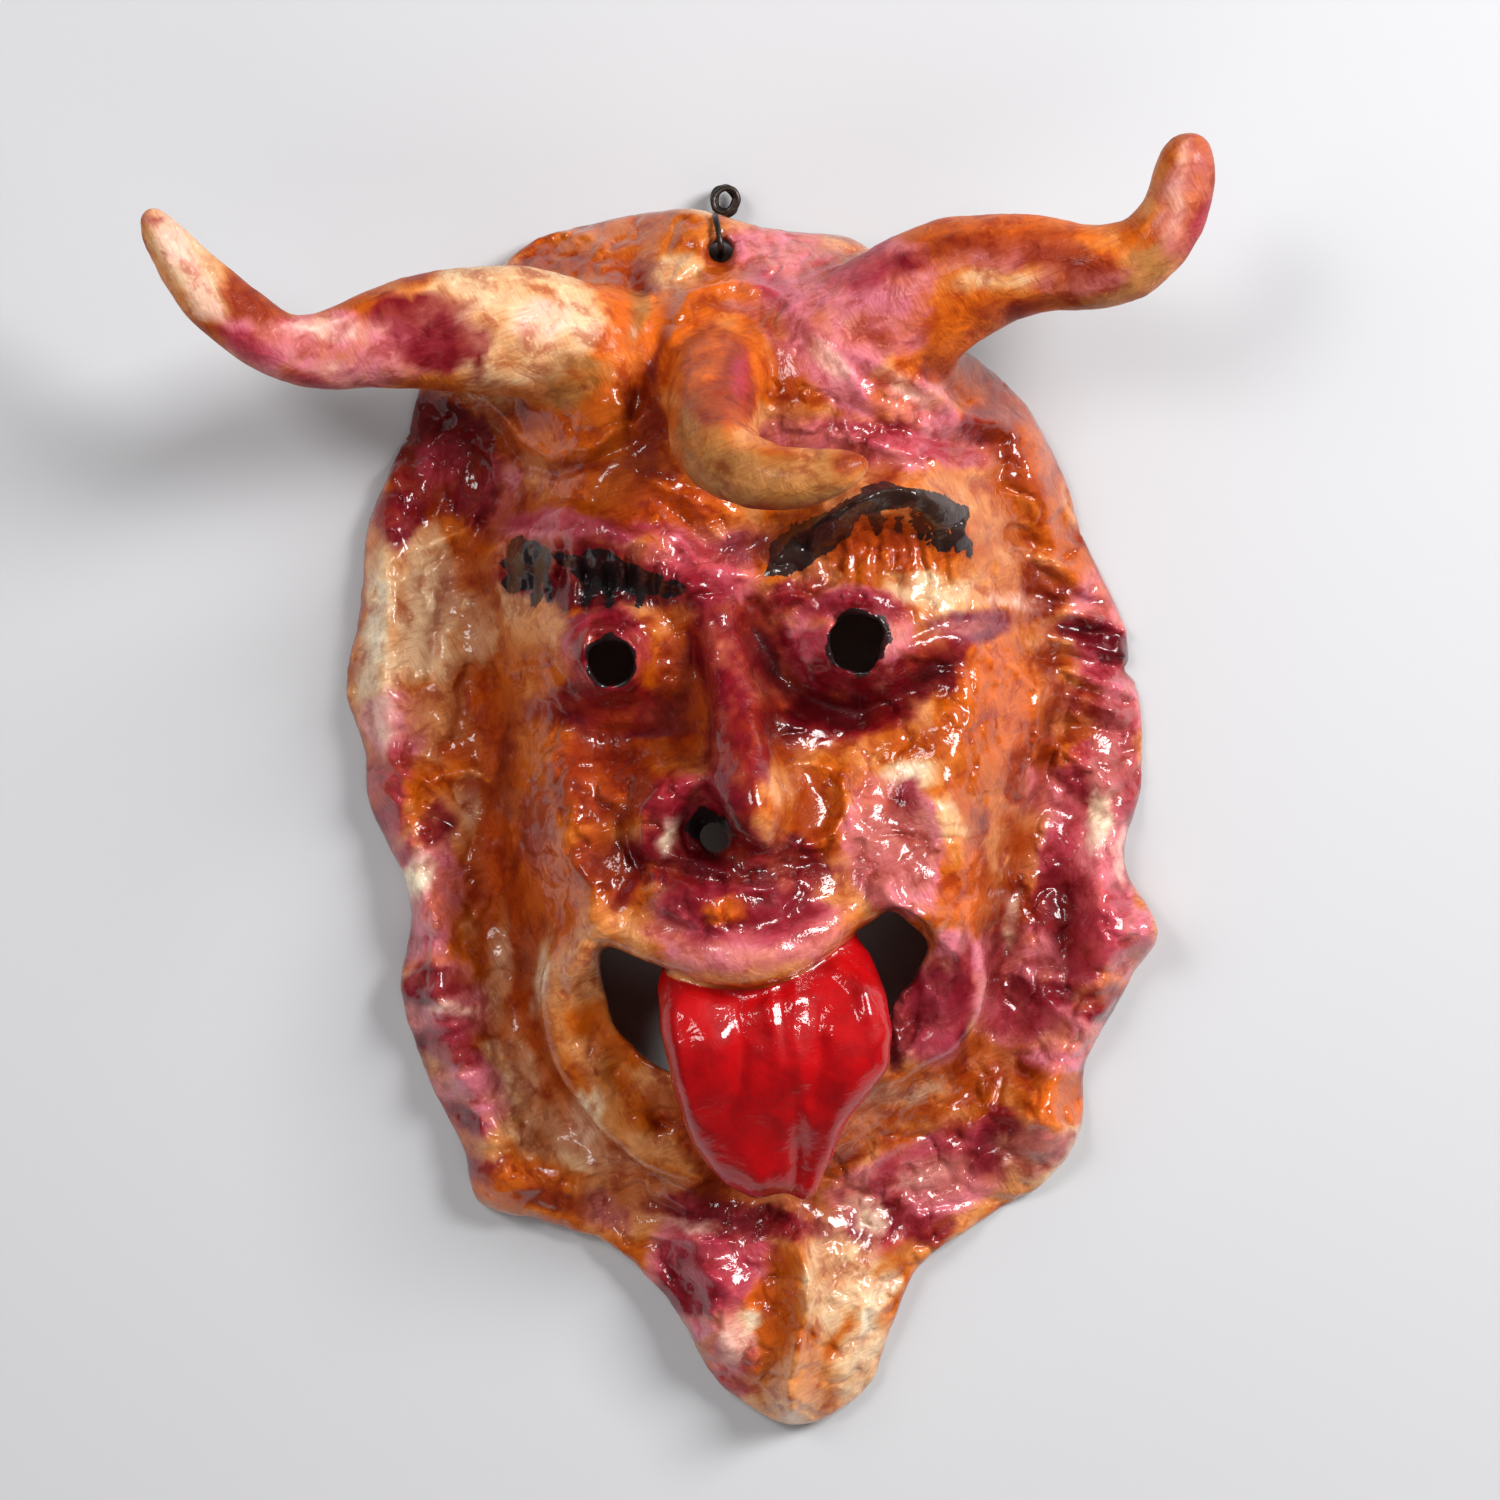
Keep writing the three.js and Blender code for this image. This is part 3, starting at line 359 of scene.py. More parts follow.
# Finer forms, placed as the photograph's frame of 1500 x 1500 sees them; heights are in millimetres.
# Each fold is a chain of (across, down, rise) with a half-width in pixels.
FINE_FOLDS = {
    "left brow crest": ((
        (497, 548, 0.6), (530, 522, 2.2), (566, 514, 2.6), (600, 524, 2.2), (640, 545, 1.4),
    ), 9),
    "left brow band": (((500, 562, 1), (560, 556, 1.6), (620, 566, 1.6), (688, 588, 0.8)), 13),
    "right brow edge": ((
        (764, 566, 1), (800, 540, 2.2), (850, 503, 2.4), (905, 489, 2), (962, 510, 1.2),
    ), 9),
    "right brow body": ((
        (775, 572, 0.8), (812, 552, 1.8), (860, 520, 1.6), (920, 508, 1.2), (962, 535, 0.8),
    ), 13),
    "between the brows": (((660, 520, 1.2), (700, 560, 1.8), (740, 572, 1)), 9),
    "glossy gap": (((738, 552, -1), (770, 535, -2), (800, 512, -1)), 10),
    "nose bridge left": (((700, 612, 1.2), (712, 600, 1.6), (735, 612, 0.6)), 7),
    "nose side crease": (((697, 640, -1.2), (703, 700, -1.6), (712, 745, -1)), 8),
    "nose edge": (((716, 640, 1), (733, 700, 1.6), (748, 765, 1.8), (757, 815, 1.2)), 7),
    "nose right plane": (((760, 650, -0.8), (772, 720, -1.2), (778, 756, -0.8)), 10),
    "left nostril rim": ((
        (645, 856, 1.8), (640, 812, 3), (662, 782, 3.2), (704, 772, 2.4), (735, 800, 1),
    ), 11),
    "nostril floor": (((672, 850, 0.8), (705, 862, 1.4), (735, 845, 1)), 7),
    "right recess top": (((777, 768, 2), (815, 764, 2.2), (842, 772, 1.6)), 6),
    "right recess side": (((843, 775, 1.8), (848, 805, 1.8), (838, 838, 1.4)), 6),
    "right recess floor": (((785, 842, 1), (815, 848, 1.4), (838, 840, 1.2)), 6),
    "crease over the lip": (((640, 862, -1.4), (700, 878, -1.8), (765, 876, -1.4), (820, 862, -1.2)), 7),
    "lip crest": ((
        (665, 914, 1), (700, 925, 1.6), (730, 935, 1.9), (752, 949, 1.9), (790, 945, 1.7),
        (822, 930, 1.4), (850, 910, 0.8),
    ), 7),
    "lip crease": ((
        (640, 925, -0.8), (690, 944, -1.6), (745, 962, -1.8), (800, 952, -1.6), (845, 928, -0.8),
    ), 5),
    "lip edge": ((
        (620, 938, 0.8), (660, 962, 1.6), (700, 975, 2), (745, 980, 2), (800, 964, 1.8), (850, 932, 1),
    ), 8),
    "smile left": (((640, 858, -1.2), (605, 900, -1.6), (580, 925, -1.2)), 8),
    "cheek left of mouth": (((560, 850, 1.4), (590, 880, 2), (600, 905, 1)), 12),
    "left eye ring": ((
        (579, 663, 1.8), (590, 634, 2.2), (620, 628, 2.2), (640, 655, 2), (630, 690, 1.6),
        (598, 696, 1.6), (579, 663, 1.8),
    ), 8),
    "left eye upper fold": (((566, 640, 1), (590, 616, 1.8), (628, 610, 1.6), (652, 632, 1)), 6),
    "left eye lower crease": (((552, 690, -1.2), (590, 712, -2), (640, 706, -1.6), (662, 680, -0.8)), 9),
    "right eye ring": ((
        (822, 640, 1.4), (836, 610, 1.8), (868, 606, 1.6), (890, 630, 1.6), (884, 664, 1.6),
        (850, 676, 1.6), (826, 662, 1.4),
    ), 8),
    "right eye upper fold": (((770, 618, 0.8), (810, 592, 1.4), (860, 588, 1.4), (905, 604, 0.8)), 6),
    "right eye wrinkle": (((762, 600, 0.8), (790, 596, 1.2), (812, 606, 0.6)), 5),
    "trough lower edge": (((752, 690, 0.8), (800, 728, 1.2), (860, 735, 1.2), (930, 705, 0.8)), 7),
    "crow's foot one": (((905, 640, -0.6), (950, 622, -1.4), (1000, 620, -0.8)), 6),
    "crow's foot two": (((900, 668, -0.6), (950, 660, -1), (985, 664, -0.6)), 6),
    "left forehead crease": (((640, 290, -1.2), (630, 340, -2.4), (640, 385, -2.4), (626, 430, -1.2)), 7),
    "left forehead crease edge": (((652, 300, 0.8), (646, 350, 1.4), (655, 400, 1.4)), 6),
    "arc over the horn": ((
        (672, 345, 1), (690, 300, 2.4), (735, 280, 2.8), (782, 292, 2.4), (806, 325, 1),
    ), 9),
    "arc crease": (((668, 300, -0.8), (700, 268, -1.6), (740, 262, -1.4)), 7),
    "pink fold": ((
        (815, 330, 0.8), (850, 350, 2.2), (905, 380, 2.6), (960, 410, 2.2), (990, 428, 2.8),
    ), 9),
    "pink fold crease": (((830, 395, -0.8), (880, 420, -1.8), (940, 440, -2.2), (1000, 446, -1.4)), 8),
    "pink lower fold": (((800, 430, 0.8), (860, 438, 1.4), (920, 462, 1.8), (980, 470, 1.2)), 8),
    "pink upper fold": (((800, 300, 0.8), (850, 312, 1.2), (890, 345, 1.4)), 9),
    "root crease right": (((905, 330, -0.8), (930, 370, -1.6), (965, 400, -1.8)), 8),
    "brow furrow": (((640, 470, 0.8), (690, 500, 1.4), (725, 535, 1.2)), 7),
    "brow furrow crease": (((655, 492, -0.8), (690, 522, -1.4), (712, 548, -0.8)), 6),
    "left temple fold": (((500, 440, 0.8), (490, 480, 1.8), (470, 530, 2), (410, 550, 1)), 8),
    "left temple crease": (((440, 420, -1.4), (440, 470, -2.2), (430, 520, -1.6)), 12),
    "crown left fold": (((515, 248, 1.4), (560, 230, 1.8), (600, 240, 1.2)), 8),
    "crown scoop": (((705, 236, -1), (716, 252, -2.8)), 15),
    "crown scoop edge": (((690, 262, 1), (710, 276, 1.8), (735, 268, 1)), 6),
    "left rim fold one": (((352, 700, 0.8), (385, 690, 1.6), (410, 700, 0.8)), 8),
    "left rim fold two": (((366, 792, 0.8), (400, 772, 1.8), (436, 790, 1.2)), 8),
    "left rim fold three": (((378, 860, 0.6), (410, 842, 1.6), (440, 862, 1.2)), 8),
    "left rim crease one": (((366, 735, -0.6), (400, 730, -1.6), (440, 745, -0.8)), 7),
    "left rim crease two": (((380, 826, -0.8), (420, 812, -2), (455, 830, -1.2)), 8),
    "left rim crease three": (((396, 945, -1), (430, 938, -2.2), (480, 952, -1)), 10),
    "left rim fold four": (((400, 985, 1), (440, 998, 2.2), (485, 1000, 1.4)), 10),
    "left rim crease four": (((410, 1035, -1), (450, 1038, -2.2), (490, 1030, -1)), 9),
    "left rim fold five": (((425, 1080, 1), (455, 1078, 2), (490, 1062, 1.2)), 9),
    "left rim crease five": (((440, 1110, -0.8), (475, 1100, -1.8), (505, 1080, -0.8)), 8),
    "left corner crease": (((462, 1150, -1.2), (510, 1148, -1.8), (560, 1140, -1)), 9),
    "left cheek line": (((500, 700, -0.6), (497, 800, -1.2), (510, 900, -1.2)), 7),
    "left cheek fold": (((440, 775, 1.4), (470, 765, 2), (500, 790, 1.2)), 8),
    "left cheek line two": (((540, 780, -0.8), (590, 800, -1.4), (628, 830, -1)), 7),
    "right rim furrow deep": (((1048, 628, -1), (1090, 642, -2.6), (1134, 660, -3)), 11),
    "right rim furrow next": (((1052, 690, -1), (1090, 705, -2.4), (1122, 724, -2.4)), 10),
    "right rim furrow up": (((1028, 560, -0.8), (1062, 580, -2), (1095, 606, -1.8)), 8),
    "right rim furrow top": (((1018, 508, -0.8), (1050, 520, -1.8), (1082, 540, -1.6)), 8),
    "right rim roll deep": (((1060, 608, 0.8), (1100, 622, 2.2), (1134, 632, 1.8)), 7),
    "right rim roll next": (((1058, 664, 0.8), (1100, 678, 2.4), (1138, 700, 1.8)), 7),
    "right rim roll third": (((1046, 738, 1), (1080, 762, 2), (1112, 786, 2)), 8),
    "right rim crease third": (((1040, 765, -1), (1070, 795, -2), (1100, 818, -1.6)), 8),
    "right cheek line": (((1050, 690, 0.8), (1036, 740, 1.4), (1018, 815, 1.6), (1002, 880, 1.2)), 6),
    "right cheek crease": (((1062, 745, -1), (1030, 820, -2.2), (1014, 870, -1.8)), 7),
    "right dark recess": (((1060, 890, -1.8), (1075, 925, -2.8), (1060, 960, -1.6)), 17),
    "right light roll": (((1040, 1005, 1), (1075, 1020, 2.2), (1108, 1040, 1.2)), 9),
    "right roll upper": (((1050, 980, 0.8), (1090, 985, 1.6), (1130, 975, 1.2)), 8),
    "right low crease": (((1000, 1060, -1), (1040, 1080, -1.8), (1075, 1085, -0.8)), 9),
    "right low roll": (((980, 1105, 1), (1025, 1120, 2), (1075, 1130, 1.6)), 9),
    "right low crease two": (((960, 1135, -0.8), (1000, 1150, -1.6), (1040, 1165, -0.8)), 8),
    "chin highlight one": (((655, 1232, 0.8), (700, 1226, 1.6), (735, 1240, 0.8)), 7),
    "chin highlight two": (((695, 1262, 0.8), (722, 1280, 1.4), (748, 1305, 0.8)), 7),
    "chin ridge": (((800, 1235, 1), (806, 1300, 1.6), (795, 1360, 1.6), (790, 1420, 1)), 7),
    "chin crease": (((772, 1250, -0.8), (780, 1320, -1.4), (770, 1380, -1)), 8),
    "chin left roll": (((640, 1235, 0.8), (670, 1290, 1.4), (705, 1350, 1.2)), 10),
    "chin right roll": (((850, 1240, 0.6), (868, 1300, 1.2), (850, 1370, 1)), 10),
    "under-tongue roll left": (((640, 1180, 0.8), (690, 1205, 1.4), (740, 1212, 0.8)), 8),
    "under-tongue roll right": (((825, 1195, 1), (860, 1168, 1.6), (905, 1140, 1)), 9),
    "right mouth inner wall": (((890, 1040, -1.6), (912, 1000, -3), (925, 960, -1.6)), 15),
    "right mouth drip": (((902, 960, 0.8), (905, 1000, 1.6), (898, 1035, 1)), 5),
    "lower right lip crease": (((880, 1062, -1), (920, 1072, -1.6), (955, 1050, -1)), 8),
    "forehead lobe edge": ((
        (478, 392, 1), (505, 420, 1.8), (525, 450, 2.2), (550, 457, 2.2), (590, 445, 2), (625, 425, 1.6),
        (645, 410, 0.8),
    ), 7),
    "forehead lobe crease": ((
        (474, 408, -1), (500, 436, -1.8), (522, 466, -2.4), (552, 474, -2.4), (592, 460, -2.2),
        (632, 440, -1.2),
    ), 7),
    "glossy ridge by the root": (((880, 340, 0.8), (920, 382, 2), (962, 420, 2.2)), 8),
    "pink flap": (((794, 312, 1), (828, 352, 2), (866, 398, 1.4)), 9),
    "ring around the left eyeball": ((
        (553, 660, -2), (570, 698, -2.4), (603, 712, -2.4), (640, 698, -2.2), (654, 660, -2),
        (640, 622, -1),
    ), 8),
    "crease beside the nose wing": (((630, 788, -1.6), (626, 838, -2.6), (640, 880, -2.2)), 8),
    "nose underside": (((700, 806, 1.8), (736, 828, 2.6), (768, 842, 2.2)), 8),
    "philtrum ridge": (((712, 868, 1), (740, 880, 1.8), (770, 886, 1.8), (802, 880, 1)), 6),
    "right eye gutter": ((
        (745, 605, -1.2), (786, 668, -2.4), (840, 716, -2.8), (900, 692, -2.2), (944, 650, -1.2),
    ), 14),
    "right cheek ridge": (((960, 640, 0.8), (1038, 690, 2), (1036, 780, 2.2), (1010, 822, 1)), 9),
    "maroon furrow": (((1062, 626, -1.6), (1100, 645, -3.2), (1132, 664, -2.4)), 10),
    "brown furrow": (((1062, 700, -1.4), (1095, 708, -2.8), (1126, 724, -2)), 9),
    "upper furrow": (((1030, 574, -1), (1060, 585, -2), (1092, 602, -1)), 7),
    "top furrow": (((1034, 527, -0.8), (1076, 537, -1.6)), 6),
    "roll between the furrows": (((1050, 662, 1.2), (1082, 674, 2), (1120, 694, 1.4)), 7),
    "roll over the furrows": (((1044, 604, 1), (1100, 622, 1.8)), 6),
    "recess under the furrows": (((1040, 800, -1.8), (1074, 816, -3.4), (1112, 800, -1.8)), 12),
    "left plane crease": (((456, 560, -1), (440, 620, -2), (430, 662, -1)), 8),
    "left plane lower crease": (((438, 758, -1), (476, 680, -1.8)), 7),
    "left roll": (((410, 878, 1.2), (436, 920, 2.2), (460, 962, 1.4)), 13),
    "right lip edge": ((
        (880, 895, 0.8), (926, 924, 1.8), (968, 960, 2.2), (976, 1000, 2.2), (962, 1040, 2),
        (940, 1070, 1),
    ), 7),
    "right bulge edge": (((1046, 1000, 0.8), (1090, 1010, 1.8), (1130, 985, 1)), 7),
    "chin arc": (((655, 1228, 0.8), (698, 1236, 1.8), (738, 1238, 0.8)), 7),
    "chin cream ridge": (((800, 1222, 1.2), (806, 1290, 2.2), (816, 1342, 1.2)), 7),
    "chin cream fold": (((838, 1296, 0.8), (882, 1310, 1.4)), 6),
    "valley outside the left lip": ((
        (540, 1000, -1.2), (548, 1060, -2.4), (590, 1125, -2.4), (640, 1168, -1.2),
    ), 10),
}

# Straight strokes of a finger or a tool: from (across, down), to (across, down), rise, and half-width in
# pixels.
STROKES = {
    "left brow grooves": [
        ((512 + 24 * k, 540 + 2 * k), (508 + 24 * k, 606 + k), -2.6, 5.5) for k in range(8)
    ],
    "crinkles between the horns": [
        ((592 + 8 * k, 296 + 22 * k), (642 - 3 * k, 322 + 20 * k), -1.1, 4) for k in range(6)
    ],
    "right brow grooves": [
        ((812 + 13 * k, 536 - 5.5 * k + 0.6 * k * k), (806 + 15 * k, 566 - 3.5 * k + 0.7 * k * k), -1.2, 4)
        for k in range(11)
    ],
    "grooves under the right brow": [
        ((838 + 21 * k, 540), (824 + 25 * k, 600), -0.9, 5) for k in range(6)
    ],
    "left eye rays": [((578 + 17 * k, 602), (584 + 12 * k, 624), -0.8, 4) for k in range(5)],
    "wrinkles beside the right eye": [
        ((768 + 5 * k, 606 + 14 * k), (812, 622 + 7 * k), -0.7, 4) for k in range(4)
    ],
    "smile wrinkles": [
        ((866 + 12 * k, 796 + 22 * k), (906 + 8 * k, 806 + 26 * k), -0.7, 5) for k in range(5)
    ],
    "left rim nicks": [
        ((372 + 3 * k, 780 + 34 * k), (402 + 4 * k, 772 + 35 * k), -1.0, 5) for k in range(8)
    ],
    "right rim nicks": [
        ((1000 + 6 * k, 466 + 24 * k), (1030 + 8 * k, 474 + 26 * k), -1.0, 5) for k in range(8)
    ],
    "right edge nicks": [((1094, 836 + 21 * k), (1128, 838 + 22 * k), -0.8, 5) for k in range(5)],
    "lip wrinkles": [
        ((668 + 18 * k, 896 + 5 * k - 0.5 * k * k), (664 + 19 * k, 922 + 5 * k - 0.5 * k * k), -0.5, 4)
        for k in range(9)
    ],
}

# Bumps (and dents, where the rise is negative): middle, the two reaches, turn in degrees, rise.
DIMPLES = {
    "bubble in the right recess": ((795, 797), (13, 12), 0, 2.2),
    "right recess": ((814, 810), (32, 36), 0, -3.6),
    "nostril hollow": ((707, 822), (26, 24), 0, -4.6),
    "maroon knob": ((990, 424), (18, 14), 30, 2.6),
    "knob on the left temple": ((468, 604), (11, 9), 0, 1),
    "small bump on the left rim": ((343, 694), (9, 14), 0, 1.4),
    "hole by the left lip": ((657, 1120), (8, 7), 0, -2.2),
    "right eye pocket": ((838, 622), (14, 12), 30, -1.4),
    "left eye upper lid": ((600, 622), (24, 9), -8, 1.2),
    "hollow beside the nose": ((668, 700), (22, 44), 0, -1.8),
    "hollow under the left eye": ((612, 714), (72, 17), 3, -2.6),
    "hollow left of the tongue tip": ((690, 1215), (26, 12), 10, -1.2),
    "cheek bulge": ((565, 820), (40, 46), 10, 1.6),
    "chin hollow left": ((610, 1200), (36, 20), 20, -1.4),
    "chin hollow right": ((905, 1205), (44, 22), -30, -1.2),
    "left eyeball": ((603, 660), (44, 42), 0, 2.8),
    "right eyeball": ((866, 640), (42, 44), 0, 2),
    "notch of the right eye": ((838, 619), (9, 8), 0, -2.5),
    "left lower bulge": ((486, 1100), (30, 42), -20, 2.2),
    "pale gap": ((578, 1112), (14, 42), -20, -1.8),
    "corner knob": ((468, 1168), (14, 12), 0, 1.8),
    "right bulge": ((1080, 935), (50, 44), 0, 2),
    "rim ear": ((1145, 935), (20, 24), 0, 1.6),
}


# How far the finer forms may cut into the wall, and the wall that they leave, in millimetres.
DEEPEST = -4.4
THINNEST = 4.0

# How strongly the finer forms, the lumps and the thin crumpled lines show.
FORM_GAIN = 1.35
LUMP_GAIN = 1.2
CRUMPLE_GAIN = 5
CRUMPLE_SHARE = 0.25

# How far the finer forms waver from their chains, in pixels.
WAVER = 5


def seen(x, y, z):
    """Where the photograph's frame sees a place of the mask, in its pixels."""
    enlarged = CAMERA_HEIGHT / (CAMERA_HEIGHT - z) / PIXEL
    return PHOTO_MIDDLE + (x - CAMERA_OVER[0]) * enlarged, PHOTO_MIDDLE - (y - CAMERA_OVER[1]) * enlarged


def crease(x, y, chain, half_width):
    """A fold with a sharper crest or floor than a plain one."""
    nearest, rise = nearest_on(x, y, chain)
    return rise * np.exp(-(nearest / half_width) ** 1.5)


def fine_relief(across, down):
    """Heights, in millimetres, of the finer forms, the strokes and the unevenness of hand-worked clay."""
    total = np.zeros(across.shape, np.float32)
    x = across + WAVER * noise(across, down, 42, 3)
    y = down + WAVER * noise(across, down, 42, 4)
    for chain, half_width in FINE_FOLDS.values():
        total += crease(x, y, chain, half_width)
    for group in STROKES.values():
        for (ax, ay), (bx, by), rise, half_width in group:
            middle = ((ax + bx) / 2, (ay + by) / 2, rise)
            total += crease(x, y, ((ax, ay, rise * 0.4), middle, (bx, by, rise * 0.2)), half_width)
    for at, reach, turn, rise in DIMPLES.values():
        total += mound(x, y, at, reach, turn, rise)
    lumps = noise(across, down, 70, 11, 2) + 0.5 * noise(across, down, 26, 12, 3)
    lumps = lumps + 0.2 * noise(across, down, 9, 14, 2)
    crumpled = (CRUMPLE_SHARE - np.abs(noise(across, down, 34, 13, 3))).clip(0)
    return np.maximum(FORM_GAIN * total + LUMP_GAIN * lumps - CRUMPLE_GAIN * crumpled, DEEPEST)


# The cells that the form is sampled in: millimetres of each line of cells.
low = np.array((mask_low[0] / METRES - 3 * CELL, mask_low[1] / METRES - 3 * CELL, -3 * CELL))
high = np.array(mask_high) / METRES + 3 * CELL
X_LINE, Y_LINE, Z_LINE = (np.arange(a, b, CELL, dtype=np.float32) for a, b in zip(low, high))
X, Y = np.meshgrid(X_LINE, Y_LINE, indexing="ij")
U, V = (X - DESIGN_MIDDLE[0]) / SHARE, (Y - DESIGN_MIDDLE[1]) / SHARE
Z = Z_LINE[None, None, :]


def coarse_front(u, v, inset):
    """Height of the glazed front, in millimetres, before the finer forms: the CAD's own."""
    height = RIM + dome(u, v)
    for form in MOUNDS.values():
        height = height + mound(u, v, *form)
    for form in FOLDS.values():
        height = height + fold(u, v, *form)
    return SHARE * (np.maximum(height, 0.8 * RIM) - RIM_ROUNDING * (1 - smoothstep(inset, 0, RIM_REACH)))


inset = distance_in(U, V, closed_curve(OUTLINE, 6))
plain_front = coarse_front(U, V, inset)
foot = RIM_FOOT * SHARE * (1 - smoothstep(inset, 0.5, FOOT_REACH))
smooth_front = blurred(plain_front, round(BACK_BLUR * SHARE / CELL))
BACK = np.minimum(smooth_front, plain_front + BACK_THINNING * WALL) - WALL - foot

# The finer forms die away around the wire, which the CAD places.
wire_low, wire_high = (Vector(corner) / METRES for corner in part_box("hanging_wire"))
wire_x = (wire_low[0] + wire_high[0]) / 2
off_wire = np.hypot(X - wire_x, np.minimum(Y - wire_low[1], 0))
relief = fine_relief(*seen(X, Y, plain_front)).astype(np.float32)
relief = np.where(relief > 0, relief * smoothstep(off_wire, 3, 10), relief)
FRONT = np.maximum(plain_front + relief, BACK + THINNEST)

# The field of the whole form: millimetres from its surface, negative inside it.
steep_x, steep_y = np.gradient(blurred(FRONT, 1), CELL)
level = 1 / np.sqrt(1 + steep_x ** 2 + steep_y ** 2).astype(np.float32)
field = (Z - FRONT[:, :, None]) * level[:, :, None]
edge = -inset * SHARE + 0.5 + 0.5 * noise(X, Y, 11, 31, 3)
field = cut_out(field, edge[:, :, None].astype(np.float32), RIM_EDGE)
mouth = distance_in(U, V, closed_curve(MOUTH, 8)) * SHARE + 0.5 * noise(X, Y, 8, 33, 2)
field = cut_out(field, mouth[:, :, None].astype(np.float32), MOUTH_EDGE)


def sub_box(reach, points):
    """Slices of the field, and its places there, around some points with a reach."""
    starts = (points.min(axis=0) - reach - low) / CELL
    ends = (points.max(axis=0) + reach - low) / CELL
    parts = tuple(slice(max(int(a), 0), max(int(b) + 2, 0)) for a, b in zip(starts, ends))
    x = X_LINE[parts[0]][:, None, None]
    y = Y_LINE[parts[1]][None, :, None]
    z = Z_LINE[parts[2]][None, None, :]
    return parts, x, y, z


def sweep_curve(stations, steps=5):
    """Places and radii, in millimetres, along a smooth curve through a swept form's stations."""
    curve = open_curve(stations, steps) * SHARE
    curve[:, :2] += DESIGN_MIDDLE
    return curve


def from_sweep(x, y, z, curve):
    """Distance of places from a tapering form with rounded ends, negative inside it."""
    distance = np.full(np.broadcast(x, y, z).shape, 1e9, np.float32)
    for a, b in zip(curve, curve[1:]):
        along = b[:3] - a[:3]
        t = ((x - a[0]) * along[0] + (y - a[1]) * along[1] + (z - a[2]) * along[2]) / along.dot(along)
        t = np.clip(t, 0, 1)
        gap = np.sqrt((x - a[0] - t * along[0]) ** 2 + (y - a[1] - t * along[1]) ** 2
                      + (z - a[2] - t * along[2]) ** 2)
        distance = np.minimum(distance, gap - a[3] - t * (b[3] - a[3]))
    return distance


def add_sweep(stations, seam, uneven, seed):
    """Blends a swept form, uneven as if rolled by hand, into the field."""
    curve = sweep_curve(stations)
    parts, x, y, z = sub_box(curve[:, 3].max() + seam + 2, curve[:, :3])
    lumps = noise(x + 0.6 * z, y - 0.7 * z, 13, seed, 3)
    distance = from_sweep(x, y, z, curve) + uneven * (lumps + 0.8)
    field[parts] = blend_in(field[parts], distance, seam)


add_sweep(HORN_LEFT, HORN_SEAM, 0.6, 41)
add_sweep(HORN_RIGHT, HORN_SEAM, 0.6, 42)
add_sweep(HORN_MIDDLE, MIDDLE_HORN_SEAM, 0.5, 43)
add_sweep(NOSE, NOSE_SEAM, 0.5, 44)
add_sweep(LIP_UPPER, LIP_SEAM, 0.7, 47)
add_sweep(LIP_LEFT, LIP_SEAM, 0.7, 45)
add_sweep(LIP_RIGHT, LIP_SEAM, 0.7, 46)

# The tongue is a thick, uneven leaf whose middle rises and falls along its length.
TONGUE_RELIEF = {
    "left bulge": (((700, 1000, 1.2), (708, 1050, 2.2), (712, 1090, 1.0)), 20),
    "middle ridge": (((768, 975, 1.0), (772, 1020, 1.6), (780, 1070, 1.0)), 9),
    "ridge beside it": (((795, 985, 1.2), (792, 1030, 1.0), (800, 1080, 0.6)), 8),
    "right bulge": (((840, 1030, 1.0), (850, 1070, 1.6), (840, 1110, 0.8)), 16),
    "curled edge": (((838, 968, 1.4), (862, 985, 2.4), (868, 1015, 1.2)), 9),
    "root crease": (((690, 985, -0.8), (745, 1000, -1.2), (800, 985, -0.8)), 8),
    "left crease": (((738, 1010, -0.8), (742, 1060, -1.6), (735, 1110, -0.6)), 8),
    "right crease": (((818, 1010, -0.6), (820, 1060, -1.2), (812, 1100, -0.8)), 8),
    "tip groove": (((796, 1100, -0.8), (800, 1150, -2.2), (796, 1205, -2.6)), 8),
    "left edge roll": (((674, 1010, 0.8), (680, 1070, 1.4), (698, 1140, 0.8)), 9),
    "tip left": (((740, 1150, 0.8), (760, 1180, 1.4), (770, 1200, 0.8)), 12),
    "tip right": (((830, 1130, 0.8), (828, 1160, 1.2), (822, 1190, 0.6)), 10),
}
TONGUE_BOX = ((-8, -110, 15), (60, -22, 80))
tongue_in = distance_in(U, V, closed_curve(TONGUE_OUTLINE, 8)) * SHARE + 0.8 * noise(X, Y, 9, 51, 2)
heights = open_curve([(y, z) for y, z in reversed(TONGUE_HEIGHTS)], 8)
tongue_middle = SHARE * np.interp(V, heights[:, 0], heights[:, 1]).astype(np.float32)
tongue_half = TONGUE_HALF_THICKNESS * SHARE
across, down = seen(X, Y, tongue_middle + tongue_half)
tongue_top = tongue_middle + tongue_half + 0.6 * noise(across, down, 40, 52, 3)
for chain, half_width in TONGUE_RELIEF.values():
    tongue_top += fold(across, down, chain, half_width)
parts, _, _, z = sub_box(6, np.array(TONGUE_BOX))
flat = parts[:2]
tongue = cut_out(z - tongue_top[flat][:, :, None], (tongue_middle - tongue_half)[flat][:, :, None] - z, 2)
tongue = cut_out(tongue, -tongue_in[flat][:, :, None], TONGUE_SIDE).astype(np.float32)
field[parts] = blend_in(field[parts], tongue, TONGUE_SEAM)

# The hollow back, the holes, and the surface that the mask lies on.
hollow = cut_out(Z - BACK[:, :, None], (-inset * SHARE - 1)[:, :, None], 1).astype(np.float32)
field = cut_out(field, -hollow, BACK_EDGE)


